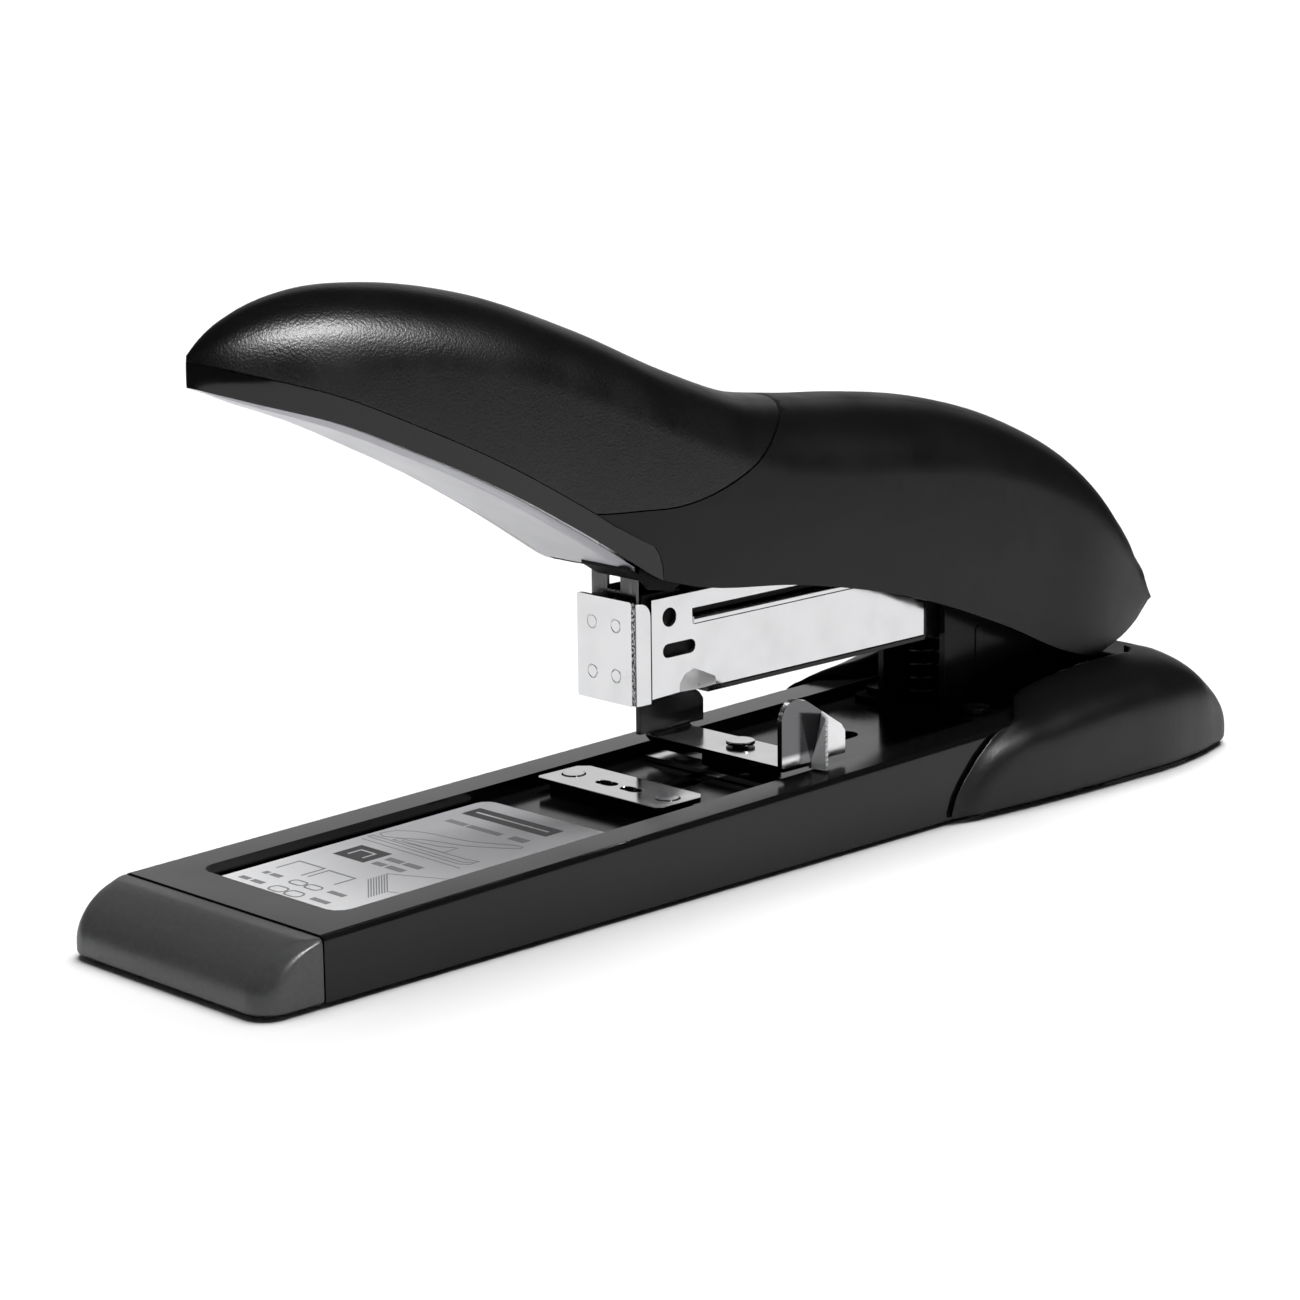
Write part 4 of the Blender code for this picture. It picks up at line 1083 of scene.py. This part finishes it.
def floor_mesh(name, inner, outer):
    """A flat disc, or a ring where the inner radius isn't nothing."""
    sides = 96
    shape = bmesh.new()
    rings = []
    for radius in (inner, outer):
        if radius:
            rings.append([shape.verts.new((x, y, 0)) for x, y in circle((0, 0), radius, sides)])
    if inner:
        for i in range(sides):
            j = (i + 1) % sides
            shape.faces.new((rings[0][i], rings[1][i], rings[1][j], rings[0][j]))
    else:
        shape.faces.new(rings[0])
    mesh = bpy.data.meshes.new(name)
    shape.to_mesh(mesh)
    shape.free()
    return mesh


def make_floor():
    """A white sheet under the stapler, and the floor beyond it that gloss doesn't pick up."""
    look = Look("floor", (0.9, 0.9, 0.9), 0.9, specular=0.0)
    near = floor_mesh("floor_near", 0, NEAR_FLOOR_RADIUS)
    far = floor_mesh("floor_far", NEAR_FLOOR_RADIUS, FAR_FLOOR_RADIUS)
    for mesh in (near, far):
        mesh.materials.append(look.material)
        sheet = new_object(mesh.name, mesh)
        sheet.visible_glossy = mesh == near


def make_backdrop():
    """A pale wall beyond the floor that only the camera sees."""
    shape = bmesh.new()
    bmesh.ops.create_cone(shape, segments=64, radius1=WALL_RADIUS, radius2=WALL_RADIUS,
                          depth=WALL_HEIGHT)
    mesh = bpy.data.meshes.new("backdrop")
    shape.to_mesh(mesh)
    shape.free()
    backdrop = new_object("backdrop", mesh)
    look = Look("backdrop", (0, 0, 0), 1, specular=0)
    look.set("Emission Color", (1, 1, 1, 1))
    look.set("Emission Strength", 1)
    mesh.materials.append(look.material)
    backdrop.visible_glossy = False
    backdrop.visible_diffuse = False
    backdrop.visible_shadow = False


def world_share(tree, source, nothing_at, full_at):
    """Share that goes smoothly from 0 to 1 between two values of a source."""
    made = tree.nodes.new("ShaderNodeMapRange")
    made.interpolation_type = "SMOOTHSTEP"
    made.inputs["From Min"].default_value = nothing_at
    made.inputs["From Max"].default_value = full_at
    tree.links.new(source, made.inputs["Value"])
    return made.outputs["Result"]


def make_world():
    """Dark studio walls with one bright panel low behind the stapler."""
    wall_brightness = 0.035
    panel_brightness = 0.8
    world = bpy.data.worlds.new("studio")
    world.use_nodes = True
    bpy.context.scene.world = world
    tree = world.node_tree
    nodes, links = tree.nodes, tree.links
    direction = nodes.new("ShaderNodeTexCoord").outputs["Generated"]
    split = nodes.new("ShaderNodeSeparateXYZ")
    facing = nodes.new("ShaderNodeVectorMath")
    facing.operation = "DOT_PRODUCT"
    facing.inputs[1].default_value = towards(PANEL_AZIMUTH, 0)
    panel = nodes.new("ShaderNodeMath")
    panel.operation = "MULTIPLY"
    level = nodes.new("ShaderNodeMapRange")
    level.inputs["To Min"].default_value = wall_brightness
    level.inputs["To Max"].default_value = panel_brightness
    links.new(direction, split.inputs["Vector"])
    links.new(direction, facing.inputs[0])
    links.new(world_share(tree, facing.outputs["Value"], 0.86, 0.96), panel.inputs[0])
    links.new(world_share(tree, split.outputs["Z"], 0.5, 0.36), panel.inputs[1])
    links.new(panel.outputs["Value"], level.inputs["Value"])
    links.new(level.outputs["Result"], nodes["Background"].inputs["Color"])


def add_light(name, kind, direction, energy):
    """A light in a direction (azimuth, elevation) as seen from the object, aimed at it."""
    data = bpy.data.lights.new(name, kind)
    data.energy = energy
    light = bpy.data.objects.new(name, data)
    bpy.context.scene.collection.objects.link(light)
    way = towards(*direction)
    light.location = Vector((0, 0, 0.05)) + way * LIGHT_DISTANCE
    light.rotation_mode = "QUATERNION"
    light.rotation_quaternion = way.to_track_quat("Z", "Y")
    return light


def make_lights():
    """A broad soft light from above, and a round key light that shows only in gloss."""
    overhead = add_light("overhead", "SUN", (200, 74), 4.1)
    overhead.data.angle = math.radians(46)
    overhead.visible_glossy = False
    key = add_light("key", "AREA", (99, 33), 19)
    key.data.shape = "DISK"
    key.data.size = 0.34
    key.visible_diffuse = False


def make_camera():
    """A long lens low in front of the stapler's right side."""
    right_of_rail = 79.07
    above_rail = 59.0
    from_rail = 679.13
    back = towards(VIEW_AZIMUTH, VIEW_ELEVATION)
    level = towards(VIEW_AZIMUTH + 90, 0)
    up = back.cross(level)
    roll = math.radians(VIEW_ROLL)
    right = math.cos(roll) * level + math.sin(roll) * up
    top = -math.sin(roll) * level + math.cos(roll) * up
    turn = Matrix((right, top, back)).transposed()
    data = bpy.data.cameras.new("camera")
    camera = bpy.data.objects.new("camera", data)
    bpy.context.scene.collection.objects.link(camera)
    centre = turn @ Vector((right_of_rail, above_rail, from_rail)) * MM
    camera.matrix_world = Matrix.Translation(centre + place(0, 0, 0)) @ turn.to_4x4()
    data.sensor_width = 36
    data.lens = 101.31
    data.clip_start = 0.01
    data.clip_end = 50
    bpy.context.scene.camera = camera


# ---------------------------------------------------------------- assembly

NEW_SHAPES = {"handle_shell", "handle_grip", "handle_trim", "rear_cover", "front_cap",
              "front_plate", *SPRINGS}
# Edge rounding in millimetres and its segments, where they aren't the usual ones.
WIDER = {"base_rail": (0.5, 3), "handle_underside": (0.4, 3), "stop_arm": (0.3, 3),
         "pivot_bracket": (0.25, 2), "stop_rivet": (0.2, 2), "label_plate": (0.05, 1),
         "head_wrap": (0.06, 2)}

bpy.context.scene.view_settings.view_transform = "Standard"
for node_name in sorted(set(NODES) - NEW_SHAPES):
    own_look = OWN_LOOKS.get(node_name, MATERIALS[slot_of(node_name)])
    refine(node_name, own_look, *WIDER.get(node_name, (0.12, 2)))

make_handle()
make_panel_rib()
make_rear_cover()
make_front_cap()
make_front_plate()
make_window_lips()
make_lug()
make_springs()
make_label_print()
make_floor()
make_backdrop()
make_world()
make_lights()
make_camera()
